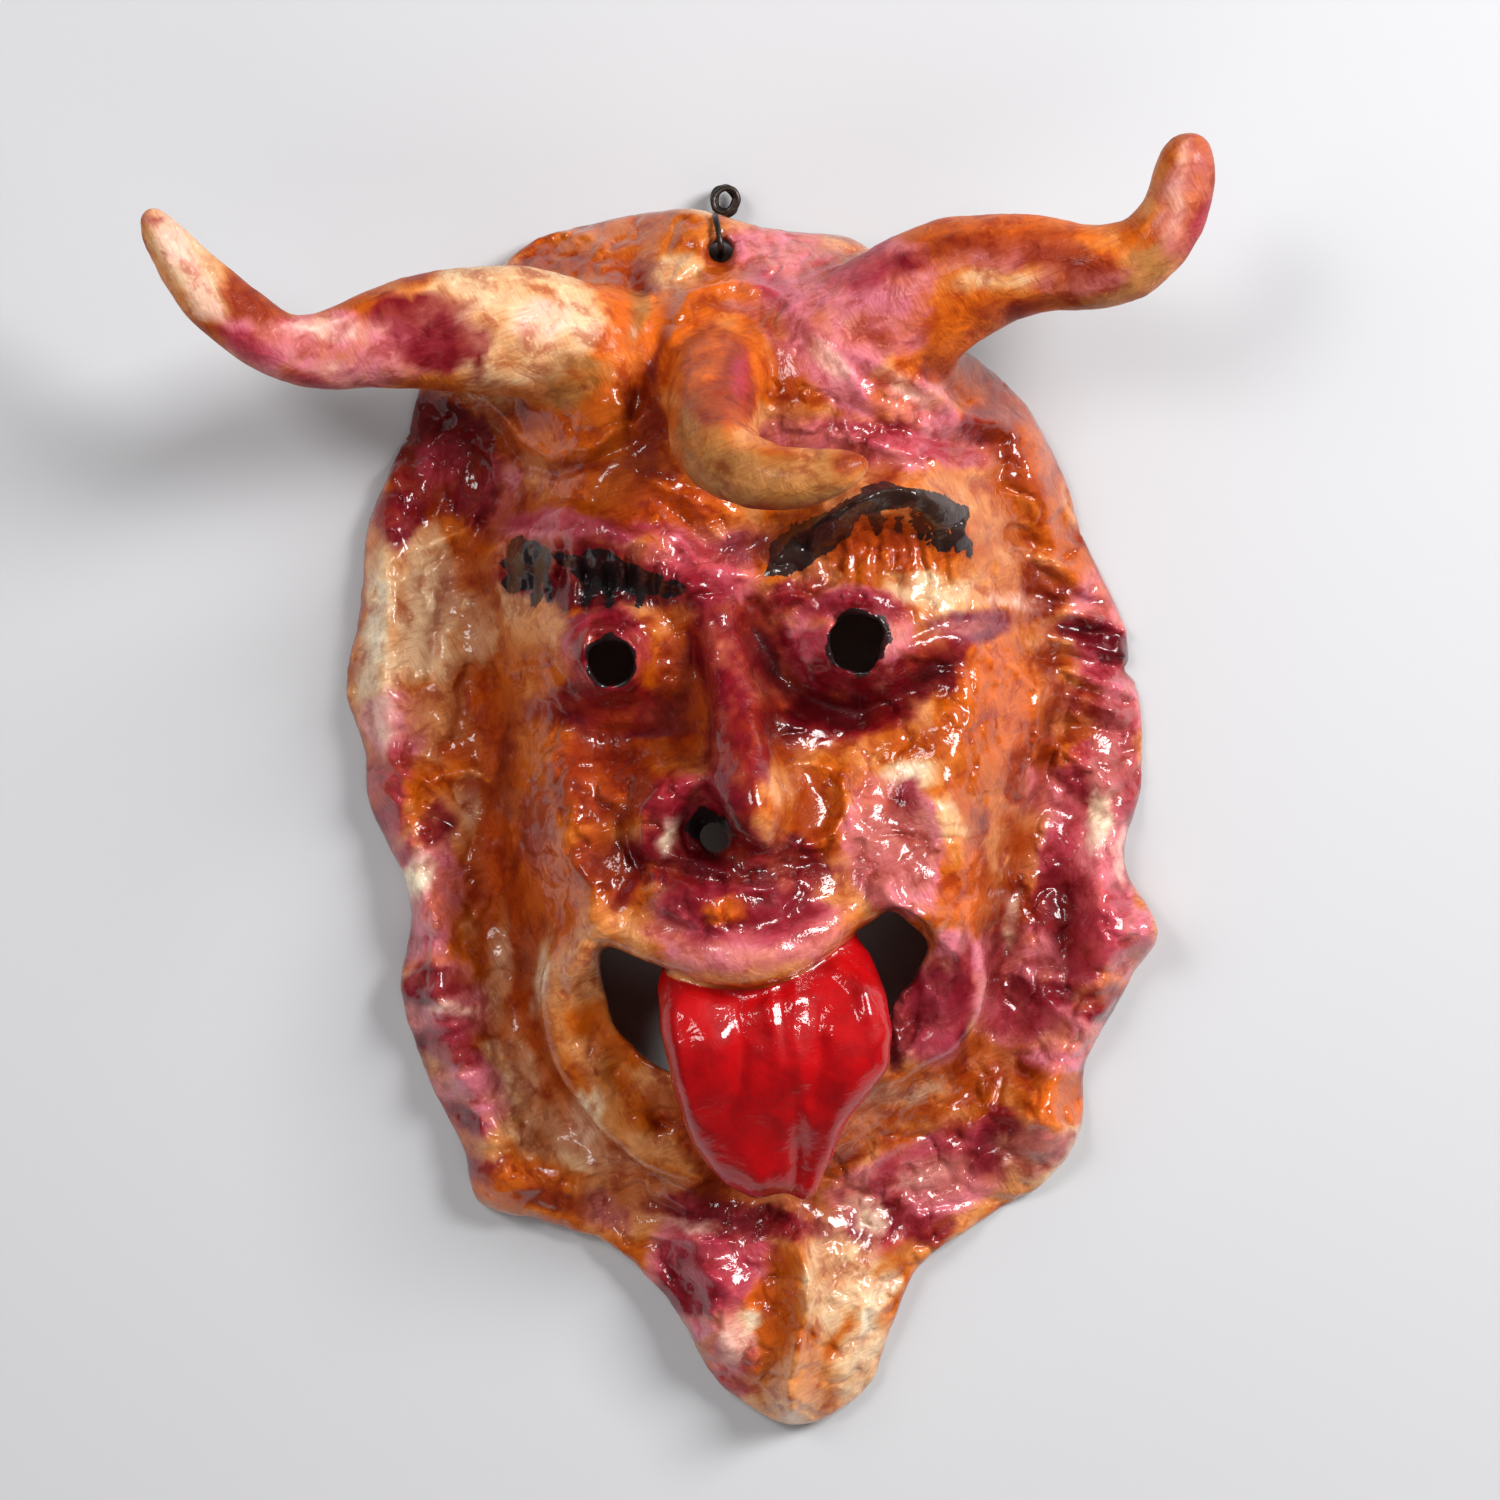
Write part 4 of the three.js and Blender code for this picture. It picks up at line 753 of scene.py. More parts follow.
def bore(place, diameter, lean=(0, 0), uneven=0.0, seed=0):
    """Cuts a hole through the wall, leaning by slopes of x and y from a height of the design."""
    global field
    pivot = LEAN_PIVOT * SHARE
    x = X[:, :, None] - place[0] * SHARE - DESIGN_MIDDLE[0] - lean[0] * (Z - pivot)
    y = Y[:, :, None] - place[1] * SHARE - DESIGN_MIDDLE[1] - lean[1] * (Z - pivot)
    near = (np.abs(x) < diameter) & (np.abs(y) < diameter)
    rough = uneven * noise(X, Y, 5, seed, 2)[:, :, None]
    hole = np.where(near, diameter / 2 + rough - np.hypot(x, y), -diameter).astype(np.float32)
    field = cut_out(field, hole, HOLE_EDGE)


bore(LEFT_EYE, EYE_HOLE_LEFT, (0, 0), 0.5, 61)
bore(RIGHT_EYE, EYE_HOLE_RIGHT, (0, 0), 0.9, 62)
bore(NOSTRIL, NOSTRIL_HOLE, (0.1, -0.25), 0.4, 63)
bore(CROWN_HOLE, WIRE_HOLE)
field = cut_out(field, -Z, FOOT_EDGE)


def meshed(values):
    """A closed mesh of the field's surface, in millimetres: corners and triangles."""
    grid = openvdb.FloatGrid(background=3.0)
    grid.copyFromArray(np.clip(values / CELL, -3, 3).astype(np.float32))
    grid.gridClass = openvdb.GridClass.LEVEL_SET
    corners, triangles, quads = grid.convertToPolygons(isovalue=0.0, adaptivity=0.0)
    faces = np.vstack([triangles, quads[:, [0, 1, 2]], quads[:, [0, 2, 3]]])
    return corners * CELL + low, faces


def mesh_object(name, corners, faces):
    """A smooth-shaded object from corners in millimetres, with its faces turned outwards."""
    a, b, c = (corners[faces[:, k]] for k in range(3))
    if np.einsum("ij,ij->i", a, np.cross(b, c)).sum() < 0:
        faces = faces[:, ::-1]
    mesh = bpy.data.meshes.new(name)
    mesh.from_pydata(corners * METRES, [], faces)
    mesh.update()
    mesh.shade_smooth()
    made = bpy.data.objects.new(name, mesh)
    bpy.context.scene.collection.objects.link(made)
    return made


def thinned(made, triangles):
    """Leaves about the given number of triangles, most where the form bends most."""
    count = len(made.data.loop_triangles) or len(made.data.polygons)
    if count > triangles:
        reducer = made.modifiers.new("thin", "DECIMATE")
        reducer.ratio = triangles / count
        evaluated = made.evaluated_get(bpy.context.evaluated_depsgraph_get())
        lighter = bpy.data.meshes.new_from_object(evaluated)
        made.modifiers.clear()
        made.data = lighter
        lighter.shade_smooth()


mask = mesh_object("glazed_mask", *meshed(field))
thinned(mask, TRIANGLES)

# Height of the topmost surface at each place, and how far it stands over its surroundings.
top_cell = len(Z_LINE) - 2 - np.argmax((field < 0)[:, :, -2::-1], axis=2)
below, above = (np.take_along_axis(field, (top_cell + k)[:, :, None], 2)[:, :, 0] for k in (0, 1))
surface = Z_LINE[top_cell] + CELL * below / (below - above)
TOP = np.where((field < 0).any(axis=2), surface, 0).astype(np.float32)
CRESTS = TOP - blurred(TOP, round(1.8 / CELL))
HOLLOWS = blurred(TOP, round(1.5 / CELL)) - blurred(TOP, round(7 / CELL))

# The glazes' screen colours, 0 to 255; blush, and some pale and cream, also paint highlights.
# A thin orange wash over the pale clay is under all of them.
COLOURS = {
    "peach": (214, 138, 84), "cream": (226, 186, 144), "pale": (244, 222, 188), "amber": (180, 80, 14),
    "orange": (202, 92, 22), "rust": (136, 46, 20), "pink": (208, 112, 124), "rose": (164, 52, 66),
    "wine": (112, 16, 28), "maroon": (76, 8, 18), "ochre": (160, 104, 56), "dusty": (176, 90, 84),
    "violet": (122, 44, 60), "blush_and_painted_highlight": (238, 186, 166),
}

# Where each glaze was brushed on, one over another in this order. Blush dabs, and a few pale and cream
# ones, are painted highlights: glints and sheen on crests and glossy spots. A dab is a middle and two
# reaches in the photograph's pixels, and a turn in degrees where it has one.
GLAZES = [
    ("amber", [
        (600, 245, 88, 32), (645, 345, 52, 118, 5), (640, 482, 98, 40, 8), (722, 300, 60, 36),
        (1015, 430, 50, 92, -18), (960, 330, 34, 40, 30), (890, 556, 72, 38, 15), (1052, 545, 28, 62),
        (988, 735, 54, 100, 5), (968, 900, 28, 62), (612, 772, 72, 62), (680, 690, 26, 74),
        (528, 850, 56, 140, 5), (488, 705, 38, 86, 5), (600, 892, 54, 36, -15), (540, 1010, 24, 66, -5),
        (925, 1092, 62, 30, -14), (1048, 1080, 36, 36), (628, 1096, 54, 22, 48), (775, 1340, 40, 74, 5),
        (540, 1190, 54, 26, 10), (815, 810, 26, 30),
    ]),
    ("cream", [
        (415, 600, 46, 76), (388, 650, 30, 70, 5), (462, 650, 34, 58), (470, 780, 14, 54),
        (522, 1098, 28, 64, -25), (592, 1156, 44, 22, 20), (836, 1275, 36, 62, 10), (868, 1366, 32, 48),
        (775, 1412, 58, 15, 12), (1042, 1150, 48, 34), (918, 774, 36, 17, -10), (944, 830, 24, 38, -20),
        (925, 596, 52, 18, 12), (722, 462, 26, 40, -30), (514, 602, 15, 34), (676, 272, 22, 22),
        (500, 960, 13, 60, 5), (620, 320, 16, 26),
    ]),
    ("peach", [
        (625, 1206, 52, 34, 22), (745, 965, 104, 15), (600, 925, 34, 22, -30), (668, 1150, 40, 16, 30),
        (1030, 560, 34, 16, 20), (1000, 1190, 40, 16, -30), (880, 940, 18, 22), (600, 980, 16, 26),
    ]),
    ("pink", [
        (800, 320, 76, 58, 20), (882, 380, 76, 42, 30), (785, 252, 66, 26, 5), (848, 442, 104, 27, 5),
        (940, 430, 62, 27, 22), (398, 722, 36, 32), (432, 905, 34, 60, 10), (445, 1010, 48, 56),
        (472, 1094, 42, 38, 30), (745, 926, 106, 46), (850, 640, 64, 52), (895, 848, 50, 76, -20),
        (1105, 620, 40, 72, 10), (1122, 705, 24, 66), (1092, 850, 52, 92), (1064, 790, 42, 30),
        (1132, 940, 26, 42), (1020, 985, 58, 64), (1062, 1040, 50, 36), (928, 1010, 42, 54),
        (952, 962, 26, 30), (930, 1182, 76, 44, -20), (872, 1200, 44, 36), (700, 1270, 62, 76, 20),
        (705, 570, 56, 42, 20), (560, 530, 76, 17, 4), (498, 490, 22, 36, 10),
    ]),
    ("rose", [
        (600, 528, 84, 16, 4), (603, 655, 50, 46), (705, 572, 40, 34, 20), (385, 800, 26, 70, 8),
        (400, 900, 26, 60, 10), (1112, 790, 30, 90, 5), (700, 1275, 56, 40, 20), (930, 1170, 60, 26, -20),
        (690, 800, 50, 30), (855, 610, 56, 16), (830, 655, 40, 24, 10), (1090, 920, 40, 50),
        (930, 1010, 34, 46), (860, 330, 50, 22, 30), (900, 440, 80, 15, 10), (788, 290, 52, 13, 24),
        (1060, 860, 20, 60, 8), (1090, 960, 36, 20, -30), (740, 915, 92, 26, 3),
        (1030, 1010, 40, 24, -30), (720, 1240, 54, 30, 15), (735, 1380, 30, 16, 20),
        (900, 1230, 40, 18, -25), (1110, 660, 34, 30, 20), (1085, 770, 30, 30, 30),
        (960, 1140, 50, 18, -20),
    ]),
    ("wine", [
        (726, 650, 34, 60, -6), (738, 730, 38, 62), (830, 700, 104, 40, -8), (610, 712, 76, 30, 4),
        (700, 850, 64, 40, 5), (760, 870, 70, 32, -5), (745, 905, 84, 24), (430, 430, 30, 34),
        (600, 588, 100, 22, 4), (1092, 642, 48, 18, 18), (1088, 708, 38, 15, 20),
        (1100, 1000, 30, 18, -20), (440, 462, 54, 56), (400, 512, 28, 32, 20), (482, 498, 18, 36, 10),
        (592, 573, 102, 28, 6), (704, 600, 40, 22, 20), (664, 815, 24, 46, 10), (722, 802, 34, 26, 20),
        (724, 882, 86, 26, 8), (806, 882, 44, 18, -14), (770, 642, 30, 56, -22), (910, 680, 58, 26, -30),
        (952, 640, 54, 15, -22), (790, 596, 40, 14, -20), (430, 985, 40, 22, 4), (440, 1048, 42, 20, 16),
        (466, 1120, 26, 16, 20), (434, 826, 20, 24, 20), (700, 1206, 60, 18, 4), (686, 1286, 36, 30, 30),
        (770, 1222, 60, 16), (962, 1168, 56, 18, -18), (880, 1222, 36, 20, -20), (1004, 1128, 26, 20),
        (932, 1230, 28, 18), (1056, 900, 24, 44, 8), (1006, 935, 14, 60, 8), (1042, 990, 38, 12),
        (1080, 784, 36, 12, 32), (962, 1010, 11, 54, 5), (868, 290, 34, 14, -22), (986, 424, 22, 19, 30),
        (714, 392, 34, 20), (632, 868, 14, 42, 24), (905, 800, 11, 30), (1095, 1075, 16, 26),
        (484, 1166, 26, 17), (890, 1030, 14, 30), (915, 985, 12, 40), (1130, 840, 8, 50, 5),
    ]),
    ("maroon", [
        (820, 716, 60, 18, -6), (770, 660, 13, 34, -20), (1096, 646, 44, 12, 18), (722, 868, 60, 11, 8),
        (600, 600, 70, 11, 5), (930, 668, 30, 12, -30), (720, 830, 36, 12), (895, 1050, 10, 18),
    ]),
    ("rust", [
        (600, 780, 56, 50), (530, 880, 26, 90, 5), (645, 380, 26, 90, 5), (620, 470, 70, 16, 6),
        (1040, 590, 26, 30), (505, 780, 16, 90, 3), (600, 860, 36, 24, -15), (1045, 700, 10, 80, 3),
        (1020, 760, 16, 60, 5), (700, 420, 14, 40, -10), (980, 850, 12, 50, 5),
    ]),
    ("orange", [
        (560, 428, 66, 26, 4), (640, 500, 96, 26, 6), (895, 552, 54, 22, 14), (990, 700, 44, 64, 8),
        (520, 1185, 52, 22, 8), (470, 720, 34, 60, 5), (960, 880, 24, 50), (1050, 1110, 30, 22),
        (545, 900, 34, 60, 8), (730, 908, 22, 12), (760, 1330, 24, 50, 5), (720, 285, 40, 14),
        (500, 850, 16, 50, 5),
    ]),
    ("violet", [(972, 622, 44, 13, -8), (745, 545, 22, 12), (1080, 600, 24, 8, 20)]),
    ("pink", [
        (835, 345, 66, 40, 25), (1105, 850, 24, 40, 5), (940, 1195, 40, 18, -20), (735, 1350, 26, 24),
    ]),
    # Painted highlights in blush: glints and sheen on crests and glossy spots, with some real pale pink.
    ("blush_and_painted_highlight", [
        (925, 1178, 34, 14, -20), (820, 352, 30, 10, 40), (905, 385, 34, 9, 35), (450, 1008, 24, 8, 8),
        (1120, 860, 10, 34, 5), (385, 720, 14, 30, 5), (405, 905, 14, 26, 10), (900, 350, 30, 12, 35),
        (860, 1205, 20, 12), (700, 1225, 40, 7, 5), (735, 1340, 18, 16), (1010, 600, 26, 8, 15),
    ]),
    ("amber", [(560, 450, 60, 10, 4), (960, 740, 30, 50, 10)]),
    ("dusty", [
        (890, 850, 38, 50, -20), (940, 1180, 40, 22, -20), (1110, 760, 24, 60, 5), (968, 622, 30, 9, -8),
        (745, 968, 96, 10), (1040, 1150, 34, 22, -30), (600, 1215, 36, 16, 20),
    ]),
    ("rust", [
        (675, 690, 20, 50), (1024, 425, 36, 84, -16), (640, 330, 14, 60, 5), (540, 1200, 30, 12, 10),
    ]),
    ("rose", [(452, 1030, 26, 20), (700, 1270, 26, 24, 20), (440, 460, 26, 30)]),
    ("wine", [(578, 655, 13, 26), (611, 628, 34, 11), (857, 606, 44, 9, 5)]),
    ("amber", [(1040, 450, 16, 40, -18)]),
    ("peach", [(800, 1375, 46, 26), (440, 712, 34, 34), (912, 1092, 44, 15, -12), (560, 1000, 12, 50, 8)]),
    ("cream", [(912, 1094, 30, 9, -12), (420, 620, 22, 50, 4)]),
    ("peach", [(745, 976, 96, 7), (600, 1080, 12, 50, -34), (760, 830, 16, 16), (800, 1405, 70, 18, 5)]),
    # Pale glaze, some dabs of which are painted highlights on crests and glossy spots.
    ("pale", [
        (905, 768, 26, 9, -12), (872, 1222, 16, 14), (584, 1118, 22, 26), (745, 1322, 12, 12),
        (376, 620, 10, 60, 5), (700, 206, 26, 6), (668, 842, 10, 20, 20), (880, 1300, 14, 34, 20),
        (545, 965, 8, 40, 8), (1100, 820, 14, 34, 10), (420, 880, 10, 24, 10), (1010, 925, 10, 30, 5),
    ]),
]

# The same for the three horns, which are painted by themselves. Some blush there is a painted highlight.
HORN_GLAZES = [
    ("orange", [(640, 300, 110, 90), (1005, 262, 120, 60), (950, 345, 60, 60), (715, 372, 50, 62)]),
    ("cream", [
        (510, 322, 92, 70), (185, 262, 24, 66, -38), (1000, 280, 58, 11, -4), (300, 366, 80, 12, 8),
    ]),
    ("ochre", [
        (1142, 272, 22, 36, 32), (768, 486, 94, 34, -6), (702, 446, 26, 54, -14), (580, 385, 46, 34, 20),
        (1080, 302, 40, 12), (640, 300, 14, 40),
    ]),
    ("pink", [
        (345, 350, 92, 38, 6), (262, 345, 46, 28, 35), (880, 280, 56, 46, -12), (905, 330, 30, 26),
        (835, 335, 56, 66, 10), (780, 270, 50, 40),
    ]),
    ("dusty", [(1192, 195, 30, 72, 14), (1000, 255, 70, 16, -4), (1080, 280, 50, 22)]),
    # Blush on the horns, partly painted highlights.
    ("blush_and_painted_highlight", [
        (176, 250, 14, 46, -38), (205, 300, 16, 24, -38), (330, 330, 50, 10), (1180, 190, 6, 44, 14),
        (540, 322, 30, 20),
    ]),
    ("rust", [
        (246, 302, 14, 36, -42), (985, 240, 74, 15, -3), (1060, 258, 50, 13, 8), (850, 462, 13, 18),
        (1006, 312, 60, 10, -8), (716, 380, 40, 52), (760, 514, 60, 9, -6), (940, 372, 20, 22, 40),
    ]),
    ("orange", [(704, 362, 20, 34, 5), (1010, 226, 60, 8), (955, 330, 34, 24, 20)]),
    ("rose", [
        (860, 268, 30, 22, -20), (742, 372, 8, 26, 10), (1200, 235, 10, 36, 20), (330, 390, 60, 7, 8),
        (250, 350, 40, 10, 40),
    ]),
    ("wine", [
        (432, 335, 44, 40, 15), (392, 312, 28, 15, -10), (150, 221, 12, 8), (478, 352, 14, 24),
        (905, 262, 20, 9, -10),
    ]),
]

# The black of the brows, and black round the eyes and the nostril that also covers the holes' walls,
# where it is painted shade.
BLACK = [
    (524, 564, 25, 21, 8), (509, 576, 9, 17), (545, 590, 6, 15), (532, 600, 5, 10), (524, 566, 22, 24, 8),
    (598, 574, 26, 20, 6), (632, 582, 28, 18, 8), (668, 588, 20, 9, 12), (586, 594, 6, 12),
    (610, 598, 5, 16), (640, 601, 5, 12), (566, 562, 12, 5, 10), (796, 552, 38, 20, -34),
    (824, 530, 36, 26, -38), (868, 504, 36, 13, -14), (912, 498, 34, 11, 4), (944, 510, 22, 15, 25),
    (961, 540, 6, 22, -12), (940, 534, 5, 20, -10), (918, 524, 5, 16, -6), (896, 522, 5, 13),
    (870, 524, 5, 13), (951, 536, 3, 24, -8), (928, 528, 3, 22, -8),
]
HOLE_BLACK_AND_SHADE = [(611, 663, 27, 28), (857, 643, 33, 31, 10), (705, 826, 19, 20)]

# How far, in pixels, a dab takes to fade out to either side of its edge.
SOFT_EDGE = 8
BROW_EDGE = 5
HOLE_FADE = 4

corners = np.empty(3 * len(mask.data.vertices), np.float32)
mask.data.vertices.foreach_get("co", corners)
corners = corners.reshape(-1, 3).clip((-1, -1, 0))
mask.data.vertices.foreach_set("co", corners.ravel())
corners = corners / METRES
across, down = seen(*corners.T)
brushed_across = across + 7 * noise(across, down, 44, 71) + 3 * noise(across, down, 13, 72)
brushed_down = down + 7 * noise(across, down, 44, 73) + 3 * noise(across, down, 13, 74)


def at_corners(values):
    """A map's values under the corners of the mask's mesh."""
    i = np.clip(np.rint((corners[:, 0] - low[0]) / CELL).astype(int), 0, len(X_LINE) - 1)
    j = np.clip(np.rint((corners[:, 1] - low[1]) / CELL).astype(int), 0, len(Y_LINE) - 1)
    return values[i, j]


def dabbed(dab, seed, soft=SOFT_EDGE):
    """Amount of one dab's glaze at the corners, with a soft, streaky edge."""
    reach = dab[2:4]
    angle = math.radians(dab[4]) if len(dab) > 4 else 0
    dx, dy = brushed_across - dab[0], brushed_down - dab[1]
    u = dx * math.cos(angle) + dy * math.sin(angle)
    v = dy * math.cos(angle) - dx * math.sin(angle)
    amount = 0.5 + (1 - np.hypot(u / reach[0], v / reach[1])) * min(reach) / (2 * soft)
    near = amount > -0.5
    along, crosswise = (u, v) if reach[0] > reach[1] else (v, u)
    streaks = noise(along[near] / 4, crosswise[near], 9, seed, 2)
    amount[near] += 0.22 * streaks
    return smoothstep(amount, 0.2, 0.9)


def give(made, name, values):
    """Keeps a value for each corner of an object, for its paint."""
    attribute = made.data.attributes.new(name, "FLOAT", "POINT")
    attribute.data.foreach_set("value", np.asarray(values, np.float32))


def linear(red, green, blue):
    """A screen colour, 0 to 255, as the linear colour that a shader takes."""
    parts = [value / 255 for value in (red, green, blue)]
    return tuple(p / 12.92 if p <= 0.04045 else ((p + 0.055) / 1.055) ** 2.4 for p in parts) + (1,)


def glazed(layers, undercoat):
    """The colour at the corners once each layer's dabs are brushed over the undercoat, thick and thin."""
    colour = undercoat.copy()
    for layer, (name, dabs) in enumerate(layers):
        amount = np.zeros(len(corners))
        for k, dab in enumerate(dabs):
            amount = np.maximum(amount, dabbed(dab, 100 + 7 * layer + k % 5))
        thickness = 0.8 + 0.3 * noise(across, down, 20, 81 + layer)
        thickness += 0.14 * noise(across, down, 7, 91 + layer)
        amount = (amount * np.clip(thickness, 0, 1))[:, None]
        colour += amount * (np.array(COLOURS[name]) - colour)
    return colour


wash = smoothstep(noise(across, down, 30, 75), -0.7, 0.7)[:, None]
undercoat = wash * np.array(COLOURS["peach"]) + (1 - wash) * np.array(COLOURS["amber"])
colour = glazed(GLAZES, undercoat)
off_horn = np.full(len(corners), 1e9)
for stations in (HORN_LEFT, HORN_RIGHT, HORN_MIDDLE):
    off_horn = np.minimum(off_horn, from_sweep(*corners.T, sweep_curve(stations)))
horn = smoothstep(off_horn, 4, 1.2)[:, None]
colour += horn * (glazed(HORN_GLAZES, undercoat) - colour)
colour = np.hstack([(colour / 255).clip(0, 1) ** 2.2, np.ones((len(corners), 1))])
colours = mask.data.attributes.new("glaze", "FLOAT_COLOR", "POINT")
colours.data.foreach_set("color", colour.astype(np.float32).ravel())

height = corners[:, 2]
on_face = (height > at_corners(TOP) - 2) * (1 - horn[:, 0])
brows = np.max([dabbed(dab, 60, BROW_EDGE) for dab in BLACK], axis=0) * on_face
# Black round the eye holes and the nostril, and on their walls, where it is painted shade.
holes = np.max([dabbed(dab, 60, HOLE_FADE) for dab in HOLE_BLACK_AND_SHADE], axis=0) * (1 - horn[:, 0])
give(mask, "black", np.maximum(brows, holes))
give(mask, "satin", horn[:, 0])
on_tongue = at_corners(tongue_in) + 3.2
over_tongue = height - at_corners(tongue_middle) + tongue_half + 1.5
under_top = at_corners(tongue_top) + 1.2 - height
off_lip = from_sweep(*corners.T, sweep_curve(LIP_UPPER)) - 0.6
inside = np.minimum.reduce([on_tongue, over_tongue, under_top, off_lip])
give(mask, "tongue", np.clip(0.5 + inside / 2.5, 0, 1))
give(mask, "bare", np.clip(0.5 + (at_corners(BACK) + 1.5 - height) / 3, 0, 1) + (height < 0.5))
crest, hollow_depth = at_corners(CRESTS), at_corners(HOLLOWS)
give(mask, "crest", np.clip(crest, 0, 2) * np.exp(-(crest / 1.6) ** 2) * (height > at_corners(TOP) - 2))
# How deep each place lies in a hollow, for pooled glaze and painted shade there.
give(mask, "pooled_glaze_and_shade", np.clip(-hollow_depth / 3, 0, 1) * on_face)


class Paint:
    """A material whose nodes are added one by one."""

    def __init__(self, name):
        self.material = bpy.data.materials.new(name)
        self.material.use_nodes = True
        self.tree = self.material.node_tree
        self.surface = self.tree.nodes["Principled BSDF"]
        self.places = self.tree.nodes.new("ShaderNodeTexCoord").outputs["Object"]

    def node(self, kind, inputs, output=0, **settings):
        """One output of a new node, with values or other nodes' outputs as its inputs."""
        made = self.tree.nodes.new(kind)
        for key, value in settings.items():
            setattr(made, key, value)
        for socket, value in inputs.items():
            if isinstance(value, bpy.types.NodeSocket):
                self.tree.links.new(value, made.inputs[socket])
            else:
                made.inputs[socket].default_value = value
        return made.outputs[output]

    def attribute(self, name):
        return self.node("ShaderNodeAttribute", {}, "Fac", attribute_name=name)

    def noise(self, size, detail=3.0, stretch=(1, 1, 1), turn=0.0, distortion=0.0):
        """Noise with features of a size in millimetres, longer along an axis where stretch is under 1."""
        placing = {"Vector": self.places, "Scale": stretch, "Rotation": (0, 0, math.radians(turn))}
        turned = self.node("ShaderNodeMapping", placing, vector_type="TEXTURE")
        grains = {"Scale": 1 / (size * METRES), "Detail": detail, "Roughness": 0.55}
        return self.node("ShaderNodeTexNoise", {"Vector": turned, "Distortion": distortion, **grains})

    def calc(self, operation, a, b=0.0):
        return self.node("ShaderNodeMath", {0: a, 1: b}, operation=operation)

    def ramp(self, value, start, end, to_start=0.0, to_end=1.0):
        """A smooth change from one value to another as the input goes from start to end."""
        return self.node("ShaderNodeMapRange", {0: value, 1: start, 2: end, 3: to_start, 4: to_end},
                         interpolation_type="SMOOTHSTEP")

    def mix(self, factor, a, b, blend="MIX"):
        return self.node("ShaderNodeMix", {0: factor, 6: a, 7: b}, 2, data_type="RGBA", blend_type=blend)

    def bump(self, height, distance):
        """Normals of a height from 0 to 1 that stands for a distance in millimetres."""
        return self.node("ShaderNodeBump", {"Height": height, "Distance": distance * METRES, "Strength": 1})

    def set(self, **values):
        """Sets the surface's inputs, with _ for a space in their names."""
        for socket, value in values.items():
            name = socket.replace("_", " ")
            if isinstance(value, bpy.types.NodeSocket):
                self.tree.links.new(value, self.surface.inputs[name])
            else:
                self.surface.inputs[name].default_value = value


